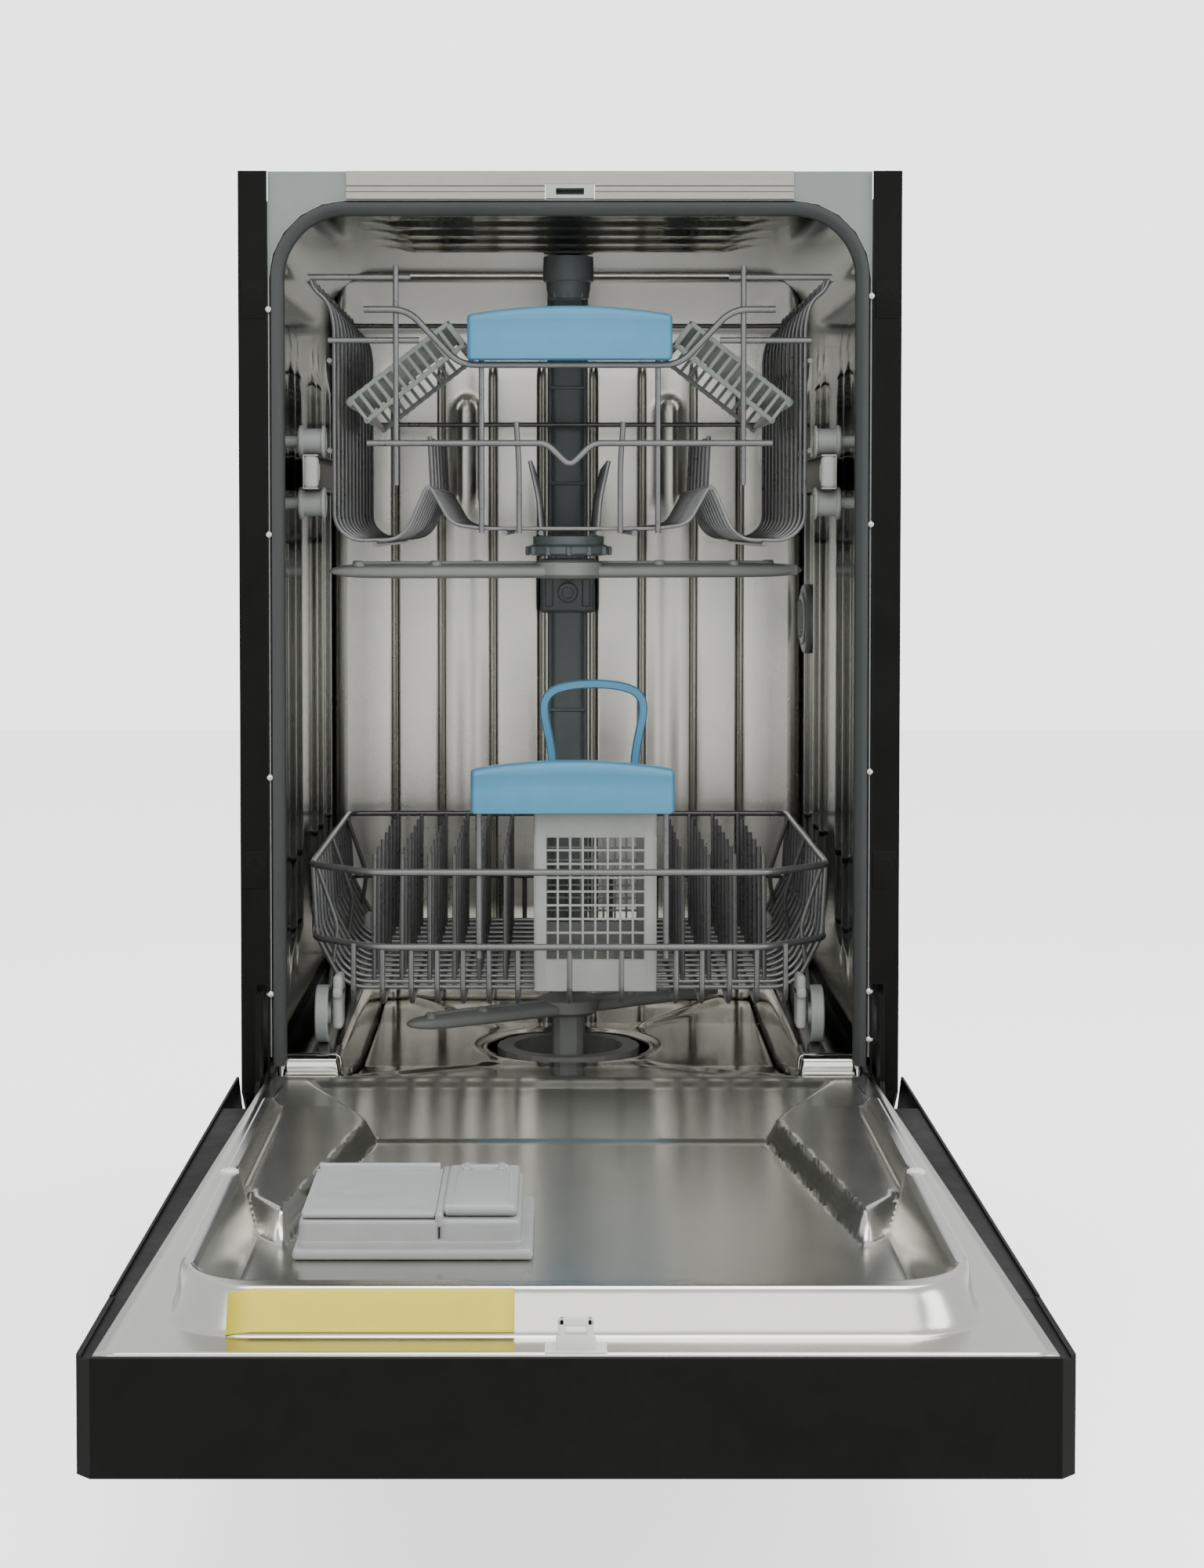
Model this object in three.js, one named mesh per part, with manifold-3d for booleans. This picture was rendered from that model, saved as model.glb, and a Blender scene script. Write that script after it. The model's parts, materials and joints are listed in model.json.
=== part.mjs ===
// Slimline built-in dishwasher, millimetres, +Z up. The door opens towards -Y and is drawn open.
// The origin is on the floor, under the middle of the whole object's footprint.
import * as THREE from 'three';
import { mergeVertices } from 'three/addons/utils/BufferGeometryUtils.js';
import Module from 'manifold-3d';

const wasm = await Module();
wasm.setup();

// ---------------------------------------------------------------- driving dimensions
const cabinet_width = 448;
const overall_height = 815;
const cabinet_depth = 520;
const gap = 0.3;                      // between touching pieces
const sheet = 1.5;                    // steel sheet

const hinge_height = 180;
const hinge_offset = 26;              // pivot ahead of the face, and below the open door's liner
const face_gap = 1;                   // closed door's liner to the cabinet's face
const door_thickness = 55;
const door_top_gap = 3;
const console_height = 100;
const plateau_rise = 20;
const pan_drop = 8;

const side_room = 26;                 // tub's inner wall to the cabinet's outer face
const head_room = 28;                 // tub's ceiling to the top
const rear_room = 50;                 // tub's back wall to the cabinet's back
const tub_corner = 34;
const flange_set_back = 12;
const gasket_width = 10;
const gasket_corner = 42;
const gasket_side_lip = 5;            // how far the seal stands inside the tub's wall
const gasket_top_lip = 2;
const strip_width = 19.5;             // black strips beside the mouth
const door_seal_gap = 1.5;            // raised part of the door's liner to the seal's opening

const floor_level = 165;
const ledge_level = 212;
const ledge_width = 36;
const sill_level = 197;
const sump_y = 298;
const sump_radius = 72;
const sump_bottom = 92;
const base_bottom = 28;
const base_top = 140;
const base_wall = 3;
const foot_radius = 18;
const stud_radius = 4;

const wire_radius = 1.9;
const weld = 2.6;                     // distance between the axes of two welded wires

const rack_front = 46;
const upper_rack_side_gap = 18;
const upper_rack_back_gap = 32;
const upper_rack_head_room = 39;      // rim to the tub's ceiling
const upper_rack_height = 174;
const lower_rack_side_gap = 15;
const lower_rack_back_gap = 24;
const lower_rack_height = 89;
const lower_rack_step = 37;           // floor to the lower loop
const handle_width = 141;
const wheel_radius = 20;
const wheel_width = 9;
const wheel_set_in = 10;              // rack's side to the middle of the wheel
const wheel_sunk = 6.5;               // top of the wheel above the rack's floor
const rail_rise = 39;                 // rail's middle above the upper rack's floor
const rail_height = 24;
const rail_width = 11;
const roller_radius = 9;
const arm_thickness = 12;
const arm_half_width = 16;
const arm_end_gap = 4;                // lower arm's tip to the feed column
const upper_arm_length = 366;
const upper_arm_y = 240;
const dock_drop = 29;                 // upper rack's floor to the water dock
const column_depth = 20;
const basket_width = 86;
const basket_depth = 186;
const basket_height = 125;
const basket_off_centre = 18;

// ---------------------------------------------------------------- derived places
const half = cabinet_width / 2;
const face = face_gap;
const tub_inner_width = cabinet_width - 2 * side_room;
const tub_inner_top = overall_height - head_room;
const tub_back = cabinet_depth - rear_room;
const gasket_top = tub_inner_top - gasket_top_lip;
const hinge_y = -hinge_offset;
const liner_top = hinge_height + hinge_offset;
const door_tip = hinge_y - (overall_height - door_top_gap - hinge_height);
const door_bottom = liner_top - door_thickness;
const tub_half = tub_inner_width / 2;
const gasket_half = tub_half - gasket_side_lip;
const gasket_outer = gasket_half + gasket_width;
const strip_inner = half - strip_width;
const tub_front = face + flange_set_back + gap;
const ledge_top = ledge_level + sheet;
const ledge_inner = tub_half - ledge_width;
const plateau_half = gasket_half - door_seal_gap;
const open_reach = (z) => hinge_y - (z - hinge_height);
const plateau_tip = open_reach(gasket_top - door_seal_gap);

const upper_rack_width = tub_inner_width - 2 * upper_rack_side_gap;
const upper_rack_depth = tub_back - rack_front - upper_rack_back_gap;
const upper_rack_rim = tub_inner_top - upper_rack_head_room;
const upper_rack_floor = upper_rack_rim - upper_rack_height;
const lower_rack_width = tub_inner_width - 2 * lower_rack_side_gap;
const lower_rack_depth = tub_back - rack_front - lower_rack_back_gap;
const lower_rack_floor = ledge_top + 2 * wheel_radius - wheel_sunk;
const lower_rack_mid = lower_rack_floor + lower_rack_step;
const lower_rack_rim = lower_rack_floor + lower_rack_height;
const wheel_track = lower_rack_width - 2 * wheel_set_in;
const rail_level = upper_rack_floor + rail_rise;
const dock_level = upper_rack_floor - dock_drop;
const column_front = tub_back - column_depth;
const lower_arm_length = 2 * (column_front - sump_y - arm_end_gap);

// ---------------------------------------------------------------- materials
const paint = (color, roughness, metalness) =>
  new THREE.MeshStandardMaterial({ color, roughness, metalness });
const steel = paint(0xa9aaa2, 0.25, 1.0);
const frame_grey = paint(0x969e9b, 0.4, 0.6);
const black_paint = paint(0x10100e, 0.45, 0.1);
const black_plastic = paint(0x121212, 0.5, 0.0);
const rubber = paint(0x3c403f, 0.8, 0.0);
const felt = paint(0x2e2d2b, 0.95, 0.0);
const grey_plastic = paint(0x80847f, 0.5, 0.0);
const pale_plastic = paint(0xa5a7a0, 0.5, 0.0);
const clear_plastic = paint(0xb9c4c2, 0.3, 0.0);
const blue_plastic = paint(0x7ea6bd, 0.4, 0.0);
const wire_coat = paint(0x84868a, 0.35, 0.7);
const base_plastic = paint(0x3a3b3d, 0.7, 0.0);
const zinc = paint(0x8b8d90, 0.35, 0.9);

// ---------------------------------------------------------------- geometry helpers
function solidOf(geometry) {
  const bare = geometry.clone();
  bare.deleteAttribute('normal');
  bare.deleteAttribute('uv');
  const merged = mergeVertices(bare, 1e-4);
  return new wasm.Manifold(new wasm.Mesh({
    numProp: 3,
    vertProperties: new Float32Array(merged.attributes.position.array),
    triVerts: new Uint32Array(merged.index.array),
  }));
}

function geometryOf(solid) {
  const mesh = solid.getMesh();
  const geometry = new THREE.BufferGeometry();
  geometry.setAttribute('position', new THREE.BufferAttribute(mesh.vertProperties.slice(), 3));
  geometry.setIndex(new THREE.BufferAttribute(mesh.triVerts.slice(), 1));
  geometry.computeVertexNormals();
  return geometry;
}

function join(...geometries) {
  return geometryOf(geometries.map(solidOf).reduce((all, next) => all.add(next)));
}

function cut(body, ...tools) {
  return geometryOf(tools.map(solidOf).reduce((left, tool) => left.subtract(tool), solidOf(body)));
}

function block([x0, x1], [y0, y1], [z0, z1]) {
  const geometry = new THREE.BoxGeometry(Math.abs(x1 - x0), Math.abs(y1 - y0), Math.abs(z1 - z0));
  return geometry.translate((x0 + x1) / 2, (y0 + y1) / 2, (z0 + z1) / 2);
}

// a box in side view (y, z) or in front view (x, z) whose x range is mirrored for the left side
const onSide = (side, a, b) => (side < 0 ? [-b, -a] : [a, b]);

function outlineOf(points) {
  return new THREE.Shape(points.map(([a, b]) => new THREE.Vector2(a, b)));
}

function extrude(shape, depth) {
  return new THREE.ExtrudeGeometry(shape, { depth, bevelEnabled: false, curveSegments: 6 });
}

// an outline in (x, z), carried along Y
function alongY(shape, y0, y1) {
  const turn = new THREE.Matrix4().makeBasis(
    new THREE.Vector3(1, 0, 0), new THREE.Vector3(0, 0, 1), new THREE.Vector3(0, -1, 0));
  return extrude(shape, y1 - y0).applyMatrix4(turn).translate(0, y1, 0);
}

// an outline in (y, z), carried along X
function alongX(shape, x0, x1) {
  const turn = new THREE.Matrix4().makeBasis(
    new THREE.Vector3(0, 1, 0), new THREE.Vector3(0, 0, 1), new THREE.Vector3(1, 0, 0));
  return extrude(shape, x1 - x0).applyMatrix4(turn).translate(x0, 0, 0);
}

function alongZ(shape, z0, z1) {
  return extrude(shape, z1 - z0).translate(0, 0, z0);
}

function rod(from, to, radius, sides = 12) {
  const a = new THREE.Vector3(...from);
  const b = new THREE.Vector3(...to);
  const axis = b.clone().sub(a);
  const turn = new THREE.Quaternion().setFromUnitVectors(
    new THREE.Vector3(0, 1, 0), axis.clone().normalize());
  const middle = a.clone().add(b).multiplyScalar(0.5);
  return new THREE.CylinderGeometry(radius, radius, axis.length(), sides)
    .applyQuaternion(turn).translate(middle.x, middle.y, middle.z);
}

// a profile of (radius, height) pairs turned about the vertical through (x, y)
function turned(profile, x, y, sides = 24) {
  const points = profile.map(([r, z]) => new THREE.Vector2(r, z));
  return new THREE.LatheGeometry(points, sides).rotateX(Math.PI / 2).translate(x, y, 0);
}

// an upside-down U from bottom to top in (x, z), with round upper corners
function archPoints(halfWidth, top, radius, bottom, steps = 5) {
  const points = [[-halfWidth, bottom]];
  const quarter = Math.PI / 2;
  for (let i = 0; i <= steps; i++) {
    const a = Math.PI - (i * quarter) / steps;
    points.push([-halfWidth + radius + radius * Math.cos(a), top - radius + radius * Math.sin(a)]);
  }
  for (let i = 0; i <= steps; i++) {
    const a = quarter - (i * quarter) / steps;
    points.push([halfWidth - radius + radius * Math.cos(a), top - radius + radius * Math.sin(a)]);
  }
  points.push([halfWidth, bottom]);
  return points;
}

function archBand(outer, inner) {
  return outlineOf([...archPoints(...outer), ...archPoints(...inner).reverse()].reverse());
}

// a path through given points whose sections stand at the points themselves
class Route extends THREE.Curve {
  constructor(points) {
    super();
    this.points = points.map((p) => new THREE.Vector3(...p));
  }
  getPoint(t) {
    const place = t * (this.points.length - 1);
    const i = Math.min(Math.floor(place + 1e-9), this.points.length - 2);
    return this.points[i].clone().lerp(this.points[i + 1], place - i);
  }
  getPointAt(u) {
    return this.getPoint(u);
  }
  getTangentAt(u) {
    const i = Math.round(u * (this.points.length - 1));
    const before = this.points[Math.max(i - 1, 0)];
    const after = this.points[Math.min(i + 1, this.points.length - 1)];
    return after.clone().sub(before).normalize();
  }
}

// a bent wire: each inner corner is eased with two points, unless ease is 0
function wire(points, radius = wire_radius, ease = 0) {
  const eased = [points[0]];
  for (let i = 1; i < points.length - 1; i++) {
    if (ease === 0) {
      eased.push(points[i]);
      continue;
    }
    const here = new THREE.Vector3(...points[i]);
    for (const other of [points[i - 1], points[i + 1]]) {
      const towards = new THREE.Vector3(...other).sub(here);
      const step = Math.min(ease, towards.length() * 0.4);
      eased.push(here.clone().add(towards.setLength(step)).toArray());
    }
  }
  eased.push(points[points.length - 1]);
  const section = new THREE.Shape();
  section.absarc(0, 0, radius, 0, 2 * Math.PI);
  return new THREE.ExtrudeGeometry(section, {
    steps: eased.length - 1, extrudePath: new Route(eased), curveSegments: 2, bevelEnabled: false });
}

// ---------------------------------------------------------------- assembly helpers
const dishwasher = new THREE.Group();
dishwasher.position.y = -(door_tip + cabinet_depth) / 2;

function part(name, geometry, material) {
  const mesh = new THREE.Mesh(geometry, material);
  mesh.name = name;
  dishwasher.add(mesh);
  return mesh;
}

const sides = [['left', -1], ['right', 1]];

// ---------------------------------------------------------------- tub
function tubShell() {
  const wall = alongY(archBand(
    [tub_half + sheet, tub_inner_top + sheet, tub_corner + sheet, ledge_top + gap],
    [tub_half, tub_inner_top, tub_corner, ledge_top + gap]), tub_front, tub_back);
  const flange = alongY(archBand(
    [gasket_outer + sheet / 2, gasket_top + gasket_width + sheet / 2, gasket_corner + gasket_width, ledge_top + gap],
    [tub_half, tub_inner_top, tub_corner, ledge_top + gap]), tub_front, tub_front + sheet);
  return join(wall, flange);
}

// wheel ledges along the sides, walls down from them, a pan that falls to the sump
function tubFloor() {
  const half_row = [
    { x: tub_half + sheet, shift: 0, ledge: true },
    { x: ledge_inner, shift: sheet, ledge: true },
    { x: ledge_inner - 6, shift: sheet, ledge: false },
    { x: sump_radius + 8, shift: 0, ledge: false }];
  const columns = [...half_row.map((c) => ({ ...c, x: -c.x, shift: -c.shift })), ...half_row.slice().reverse()];
  const rows = [
    { y: tub_front, z: sill_level },
    { y: 60, z: (sill_level + floor_level) / 2 + 4 },
    { y: sump_y - sump_radius - 20, z: floor_level + sheet },
    { y: sump_y + sump_radius + 20, z: floor_level + sheet },
    { y: tub_back, z: floor_level + 8 }];
  const box = new THREE.BoxGeometry(1, 1, 1, columns.length - 1, rows.length - 1, 1);
  const place = box.attributes.position;
  for (let k = 0; k < place.count; k++) {
    const column = columns[Math.round((place.getX(k) + 0.5) * (columns.length - 1))];
    const row = rows[Math.round((place.getY(k) + 0.5) * (rows.length - 1))];
    const under = place.getZ(k) < 0;
    const x = column.x + (under ? column.shift : 0);
    place.setXYZ(k, x, row.y, (column.ledge ? ledge_top : row.z) - (under ? sheet : 0));
  }
  return cut(box, rod([0, sump_y, floor_level - 20], [0, sump_y, floor_level + 20], sump_radius - 8, 24));
}

part('tub_shell', tubShell(), steel);
part('tub_floor', tubFloor(), steel);
part('tub_back_wall', block([-tub_half - sheet, tub_half + sheet], [tub_back + gap, tub_back + gap + sheet],
  [floor_level, tub_inner_top + sheet]), steel);

// ---------------------------------------------------------------- mouth: frame, strip, latch, seal
const latch_half = 16.5;
const latch_top = overall_height - 9;
const latch_bottom = gasket_top + gasket_width + 1.5;
const strip_half = gasket_outer - gasket_corner - gasket_width;
const strip_set = 3;                  // the corner plates stand this far behind the strip

function frontFrame() {
  const plate = alongY(archBand(
    [strip_inner - gap, overall_height, 0.1, ledge_top],
    [gasket_outer + gap, gasket_top + gasket_width + gap, gasket_corner + gasket_width, ledge_top]),
  face + strip_set, face + strip_set + sheet);
  const legs = alongY(archBand(
    [gasket_outer + gap + 0.7, gasket_top + gasket_width + gap + 0.7, gasket_corner + gasket_width, ledge_top],
    [gasket_outer + gap, gasket_top + gasket_width + gap, gasket_corner + gasket_width, ledge_top]),
  face + strip_set, face + flange_set_back);
  const lid = block([-strip_inner + gap, strip_inner - gap], [face + strip_set, face + 60],
    [overall_height - sheet, overall_height]);
  const notch = block([-latch_half - gap, latch_half + gap], [face - 1, face + 40],
    [latch_bottom - gap, latch_top + gap]);
  return cut(join(plate, legs, lid), notch);
}

function topCrosspiece() {
  const bottom = gasket_top + gasket_width + 1.2;
  const profile = outlineOf([
    [face + strip_set - gap, bottom], [face + strip_set - gap, overall_height],
    [face + 1.2, overall_height], [face + 1.2, latch_top - 0.5], [face + 2, latch_top - 1.5],
    [face + 2, latch_top - 4.5], [face, latch_top - 5.5], [face, bottom]].reverse());
  const notch = block([-latch_half - gap, latch_half + gap], [face - 1, face + 20],
    [bottom - 1, latch_top + gap]);
  return cut(alongX(profile, -strip_half, strip_half), notch);
}

function latchHousing() {
  const body = block([-latch_half, latch_half], [face, face + 26], [latch_bottom, latch_top]);
  const mouth = block([-latch_half + 7, latch_half - 7], [face - 1, face + 22],
    [latch_bottom + 2.5, latch_top - 2.5]);
  return cut(body, mouth);
}

part('front_frame', frontFrame(), frame_grey);
part('top_crosspiece', topCrosspiece(), steel);
part('latch_housing', latchHousing(), grey_plastic);
part('door_gasket', alongY(archBand(
  [gasket_outer, gasket_top + gasket_width, gasket_corner + gasket_width, liner_top + 1.5],
  [gasket_half, gasket_top, gasket_corner, liner_top + 1.5]), face + 0.5, face + flange_set_back), rubber);

// ---------------------------------------------------------------- outer sides, blanket, base
const slot_top = hinge_height + 84;
const toe_recess = 55;

function sidePanel(side) {
  const outline = outlineOf([[face, hinge_height + 10], [face + toe_recess, base_top + 8],
    [face + toe_recess, base_bottom + 4], [cabinet_depth, base_bottom + 4],
    [cabinet_depth, overall_height], [face, overall_height]]);
  const [x0, x1] = onSide(side, half - sheet, half);
  const wall = alongX(outline, x0, x1);
  const strip = block(onSide(side, strip_inner, half - 0.5), [face, face + sheet],
    [hinge_height + 10, overall_height]);
  const slot = block(onSide(side, strip_inner + 1.5, strip_inner + 9), [face - 1, face + sheet + 1],
    [hinge_height, slot_top]);
  const rear = block(onSide(side, half - 14, half - 0.5), [cabinet_depth - sheet, cabinet_depth],
    [base_bottom + 4, overall_height]);
  return cut(join(wall, strip, rear), slot);
}

for (const [name, side] of sides) part(`side_panel_${name}`, sidePanel(side), black_paint);

const blanket = 5;
part('insulation_blanket', alongY(archBand(
  [tub_half + sheet + 1 + blanket, tub_inner_top + sheet + 1 + blanket, tub_corner + 6, ledge_top + 4],
  [tub_half + sheet + 1, tub_inner_top + sheet + 1, tub_corner + 2, ledge_top + 4]),
tub_front + sheet + 1, tub_back), felt);

const drain_x = -sump_radius - 33;
const drain_level = 78;
const spout_radius = 9;
const foot_places = [[-1, 90], [1, 90], [-1, cabinet_depth - 40], [1, cabinet_depth - 40]];
const foot_x = half - 34;
const base_front = face + toe_recess + 6;

function basePan() {
  const outer = block([-half + 4, half - 4], [base_front, cabinet_depth - 4], [base_bottom, base_top]);
  const hollow = block([-half + 4 + base_wall, half - 4 - base_wall],
    [base_front + base_wall, cabinet_depth - 4 - base_wall], [base_bottom + base_wall, base_top + 1]);
  const pan = cut(outer, hollow);
  const bosses = foot_places.map(([side, y]) =>
    rod([side * foot_x, y, base_bottom + 1], [side * foot_x, y, base_bottom + 50], 10, 12));
  const bores = foot_places.map(([side, y]) =>
    rod([side * foot_x, y, base_bottom - 5], [side * foot_x, y, base_bottom + 60], stud_radius + 0.6, 12));
  const outlet = rod([drain_x, cabinet_depth - 20, drain_level], [drain_x, cabinet_depth + 5, drain_level],
    spout_radius + 2 * gap, 12);
  return cut(join(pan, ...bosses), ...bores, outlet);
}

part('base_pan', basePan(), base_plastic);
part('toe_kick_panel', block([-half + 3, half - 3], [face + toe_recess + 1, face + toe_recess + 3],
  [base_bottom + 6, base_top + 6]), black_paint);

foot_places.forEach(([side, y], i) => {
  const profile = [[0, 0], [foot_radius, 0], [foot_radius, 5], [stud_radius + 4, 12],
    [stud_radius, 12], [stud_radius, base_bottom + 44], [0, base_bottom + 44]];
  part(`foot_${i + 1}`, turned(profile, side * foot_x, y, 12), grey_plastic);
});

// ---------------------------------------------------------------- water works
const post_radius = 13;
const arm_level = 192;

function sump() {
  const bowl = turned([[0, sump_bottom], [sump_radius - 18, sump_bottom], [sump_radius, sump_bottom + 34],
    [sump_radius, floor_level - gap], [sump_radius - 5, floor_level - gap],
    [sump_radius - 5, sump_bottom + 36], [sump_radius - 21, sump_bottom + 4], [0, sump_bottom + 4]],
  0, sump_y);
  const outlet = rod([0, sump_y + 20, sump_bottom + 2], [0, sump_y + 20, sump_bottom - 20], 16, 12);
  return join(bowl, outlet);
}

function lowerArmPost() {
  const pillar = rod([0, sump_y, sump_bottom + 4 + gap], [0, sump_y, arm_level - gap - 1], post_radius, 12);
  return pillar;
}

function filterCartridge() {
  const inner = post_radius + 2;
  const mesh = sump_radius - 26;
  const flange = sump_radius - 16;
  return turned([[inner, sump_bottom + 6], [mesh, sump_bottom + 6], [mesh, floor_level - 6],
    [flange, floor_level - 4], [flange, floor_level + 2], [mesh - 3, floor_level + 2],
    [mesh - 3, sump_bottom + 9], [inner, sump_bottom + 9], [inner, sump_bottom + 6]], 0, sump_y);
}

part('sump', sump(), base_plastic);
part('lower_arm_post', lowerArmPost(), grey_plastic);
part('filter_cartridge', filterCartridge(), pale_plastic);

const pump_level = 84;
function circulationPump() {
  const near = sump_radius + 3;
  const motor = rod([near, sump_y, pump_level], [near + 92, sump_y, pump_level], 36, 16);
  const volute = rod([near - 1, sump_y, pump_level], [near + 26, sump_y, pump_level], 43, 16);
  return join(motor, volute);
}

function drainPump() {
  const y = sump_y + 30;
  const motor = rod([drain_x - 32, y, drain_level], [drain_x + 30, y, drain_level], 24, 14);
  const spout = rod([drain_x, y, drain_level], [drain_x, cabinet_depth, drain_level], spout_radius, 12);
  return join(motor, spout);
}

const inlet_set_in = 74;
function inletValve() {
  const x = -half + inlet_set_in;
  const body = block([x - 22, x + 22], [base_front + 20, base_front + 70], [62, 104]);
  const nipple = rod([x, base_front + 45, 34], [x, base_front + 45, 70], 13.2, 16);
  return cut(join(body, nipple), rod([x, base_front + 45, 30], [x, base_front + 45, 58], 9, 12));
}

const junction_set_in = 78;
function junctionBox() {
  const x = half - junction_set_in;
  return block([x - 26, x + 26], [base_front + 14, base_front + 74], [base_bottom + base_wall + gap, 96]);
}

part('circulation_pump', circulationPump(), base_plastic);
part('drain_pump', drainPump(), base_plastic);
part('inlet_valve', inletValve(), pale_plastic);
part('junction_box', junctionBox(), zinc);

const duct_half = 17;
const column_head_room = 15;

function feedColumn() {
  const column = block([-duct_half, duct_half], [column_front, tub_back - gap], [floor_level + 16, tub_inner_top - column_head_room]);
  const socket = rod([0, column_front + 4, dock_level], [0, column_front - 8, dock_level], 15, 14);
  const collar = block([-duct_half - 6, duct_half + 6], [column_front - 2, tub_back - gap],
    [dock_level - 42, dock_level - 8]);
  const button = rod([0, column_front + 4, dock_level - 25], [0, column_front - 5, dock_level - 25], 8, 12);
  return join(column, socket, collar, button);
}

const top_sprayer_reach = 170;
function topSprayer() {
  const ceiling = tub_inner_top - gap;
  const y = tub_back - top_sprayer_reach;
  const duct = block([-12, 12], [y, tub_back - 1], [ceiling - 12, ceiling]);
  const nozzle = turned([[0, ceiling - 34], [15, ceiling - 34], [20, ceiling - 20], [20, ceiling - 1],
    [0, ceiling - 1]], 0, y, 16);
  return join(duct, nozzle);
}

part('feed_column', feedColumn(), grey_plastic);
part('top_sprayer', topSprayer(), grey_plastic);

const vent_set_in = 74;               // back wall to the vent's middle
const vent_drop = 45;                 // water dock to the vent's middle
function ventCap() {
  const outline = new THREE.Shape();
  outline.absellipse(tub_back - vent_set_in, dock_level - vent_drop, 45, 28.5, 0, 2 * Math.PI);
  return alongX(outline, tub_half - 8, tub_half - gap);
}
part('vent_cap', ventCap(), clear_plastic);

// a spray arm: a long rounded bar with a hub, turned about the vertical through its middle
function sprayArm(x, y, bottom, length, heading, hub) {
  const bar = new THREE.Shape();
  const end = length / 2 - arm_half_width;
  bar.absarc(end, 0, arm_half_width, -Math.PI / 2, Math.PI / 2);
  bar.absarc(-end, 0, arm_half_width, Math.PI / 2, 1.5 * Math.PI);
  const blade = alongZ(bar, 0, arm_thickness);
  const centre = rod([0, 0, 0.5], [0, 0, arm_thickness + 3], hub, 16);
  const humps = [-0.42, -0.3, -0.18, 0.18, 0.3, 0.42].map((share, i) =>
    block([share * length - 6, share * length + 6], [-4, 4],
      [arm_thickness - 2, arm_thickness + 2.5 - (i % 2) * 0.8]));
  return join(blade, centre, ...humps).rotateZ(heading).translate(x, y, bottom);
}
part('lower_spray_arm', sprayArm(0, sump_y, arm_level, lower_arm_length, 0.6, 24), grey_plastic);

// ---------------------------------------------------------------- rails and their rollers
const roller_half = 5;
const roller_x = tub_half - 20;
const roller_y = rack_front + 4;
for (const [name, side] of sides) {
  for (const [place, lift] of [['upper', 1], ['lower', -1]]) {
    const z = rail_level + lift * (rail_height / 2 + roller_radius + gap);
    const tread = rod([side * (roller_x - roller_half), roller_y, z],
      [side * (roller_x + roller_half), roller_y, z], roller_radius, 14);
    const axle = rod([side * roller_x, roller_y, z], [side * (tub_half - gap), roller_y, z], 4, 10);
    part(`rail_roller_${place}_${name}`, join(tread, axle), pale_plastic);
  }
  const rail = block(onSide(side, roller_x - rail_width / 2, roller_x + rail_width / 2),
    [rack_front - 18, rack_front + upper_rack_depth - 10],
    [rail_level - rail_height / 2, rail_level + rail_height / 2]);
  const groove = block(onSide(side, roller_x - rail_width / 2 - 1, roller_x + 2),
    [rack_front - 8, rack_front + upper_rack_depth], [rail_level - 8, rail_level + 8]);
  part(`rack_rail_${name}`, cut(rail, groove), steel);
}

// ---------------------------------------------------------------- upper rack
const upper_back = rack_front + upper_rack_depth;
const handle_lift = 113;              // rack's floor to the bar that carries the handle

function upperRackFrame() {
  const rim = upper_rack_width / 2;
  const low = upper_rack_floor;
  const right = [[120, 0], [98, 4], [82, 32], [68, -2], [58, -8], [32, -8], [22, 0], [0, upper_rack_height]]
    .map(([inset, lift]) => [rim - inset, low + lift]);
  const left = right.map(([x, z]) => [-x, z]).reverse();
  const count = 8;
  const solids = [];
  for (let i = 0; i < count; i++) {
    const y = rack_front + (i * upper_rack_depth) / (count - 1);
    solids.push(wire([...left, ...right].map(([x, z]) => [x, y, z])));
  }
  const front = rack_front - weld;
  const along = (x, z) => solids.push(wire([[x, rack_front - 3, z], [x, upper_back + 3, z]]));
  for (const s of [-1, 1]) {
    along(s * (rim + 0.6), upper_rack_rim - 1.5);
    along(s * (rim - 12), upper_rack_rim - 86);
    along(s * (rim - 45), low - 8 - weld + 0.4);
    along(s * 45, low - weld + 0.4);
    const upright = (x, z0, z1) => solids.push(wire([[s * x, front, z0], [s * x, front, z1]]));
    upright(rim - 60, low + 30, upper_rack_rim + 7);
    upright(handle_width / 2 - 9.5, low - 3, low + handle_lift + 1);
    upright(handle_width / 4, low - 3, low + 74);
    const stub = (x0, x1, z) => solids.push(
      wire([[s * x0, rack_front - 0.5, z], [s * x1, rack_front - 0.5, z]]));
    stub(rim - 70, rim + 1, upper_rack_rim - 0.5);
    stub(rim - 76, rim - 4, upper_rack_rim - 44);
  }
  const bar = rack_front - 2 * weld + 0.6;
  const shoulder = low + 151;
  const dip = low + handle_lift;
  solids.push(wire([[-rim + 38, bar, shoulder], [-rim + 68, bar, shoulder], [-handle_width / 2 - 5.5, bar, dip],
    [handle_width / 2 + 5.5, bar, dip], [rim - 68, bar, shoulder], [rim - 38, bar, shoulder]]));
  solids.push(wire([[-rim + 40, bar, low + 59], [-16, bar, low + 59], [0, bar, low + 45],
    [16, bar, low + 59], [rim - 40, bar, low + 59]]));
  return join(...solids);
}
part('upper_rack_frame', upperRackFrame(), wire_coat);

// the same grip moulding serves both racks: arched top, flat back, thumb hollow behind
function rackHandle(centre_x, front_y, bottom) {
  const w = handle_width / 2;
  const outline = new THREE.Shape();
  outline.moveTo(-w, 0);
  outline.lineTo(w, 0);
  outline.lineTo(w, 31);
  outline.quadraticCurveTo(0, 43, -w, 31);
  const body = alongY(outline, 0, 16);
  const hollow = alongY(outline, 3.5, 17).scale(0.93, 1, 0.8).translate(0, 0, -1);
  return cut(body, hollow).translate(centre_x, front_y, bottom);
}
const upper_handle_bottom = upper_rack_floor + handle_lift + wire_radius + 1;
part('upper_rack_handle', rackHandle(0, rack_front - weld - 17, upper_handle_bottom), blue_plastic);

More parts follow.
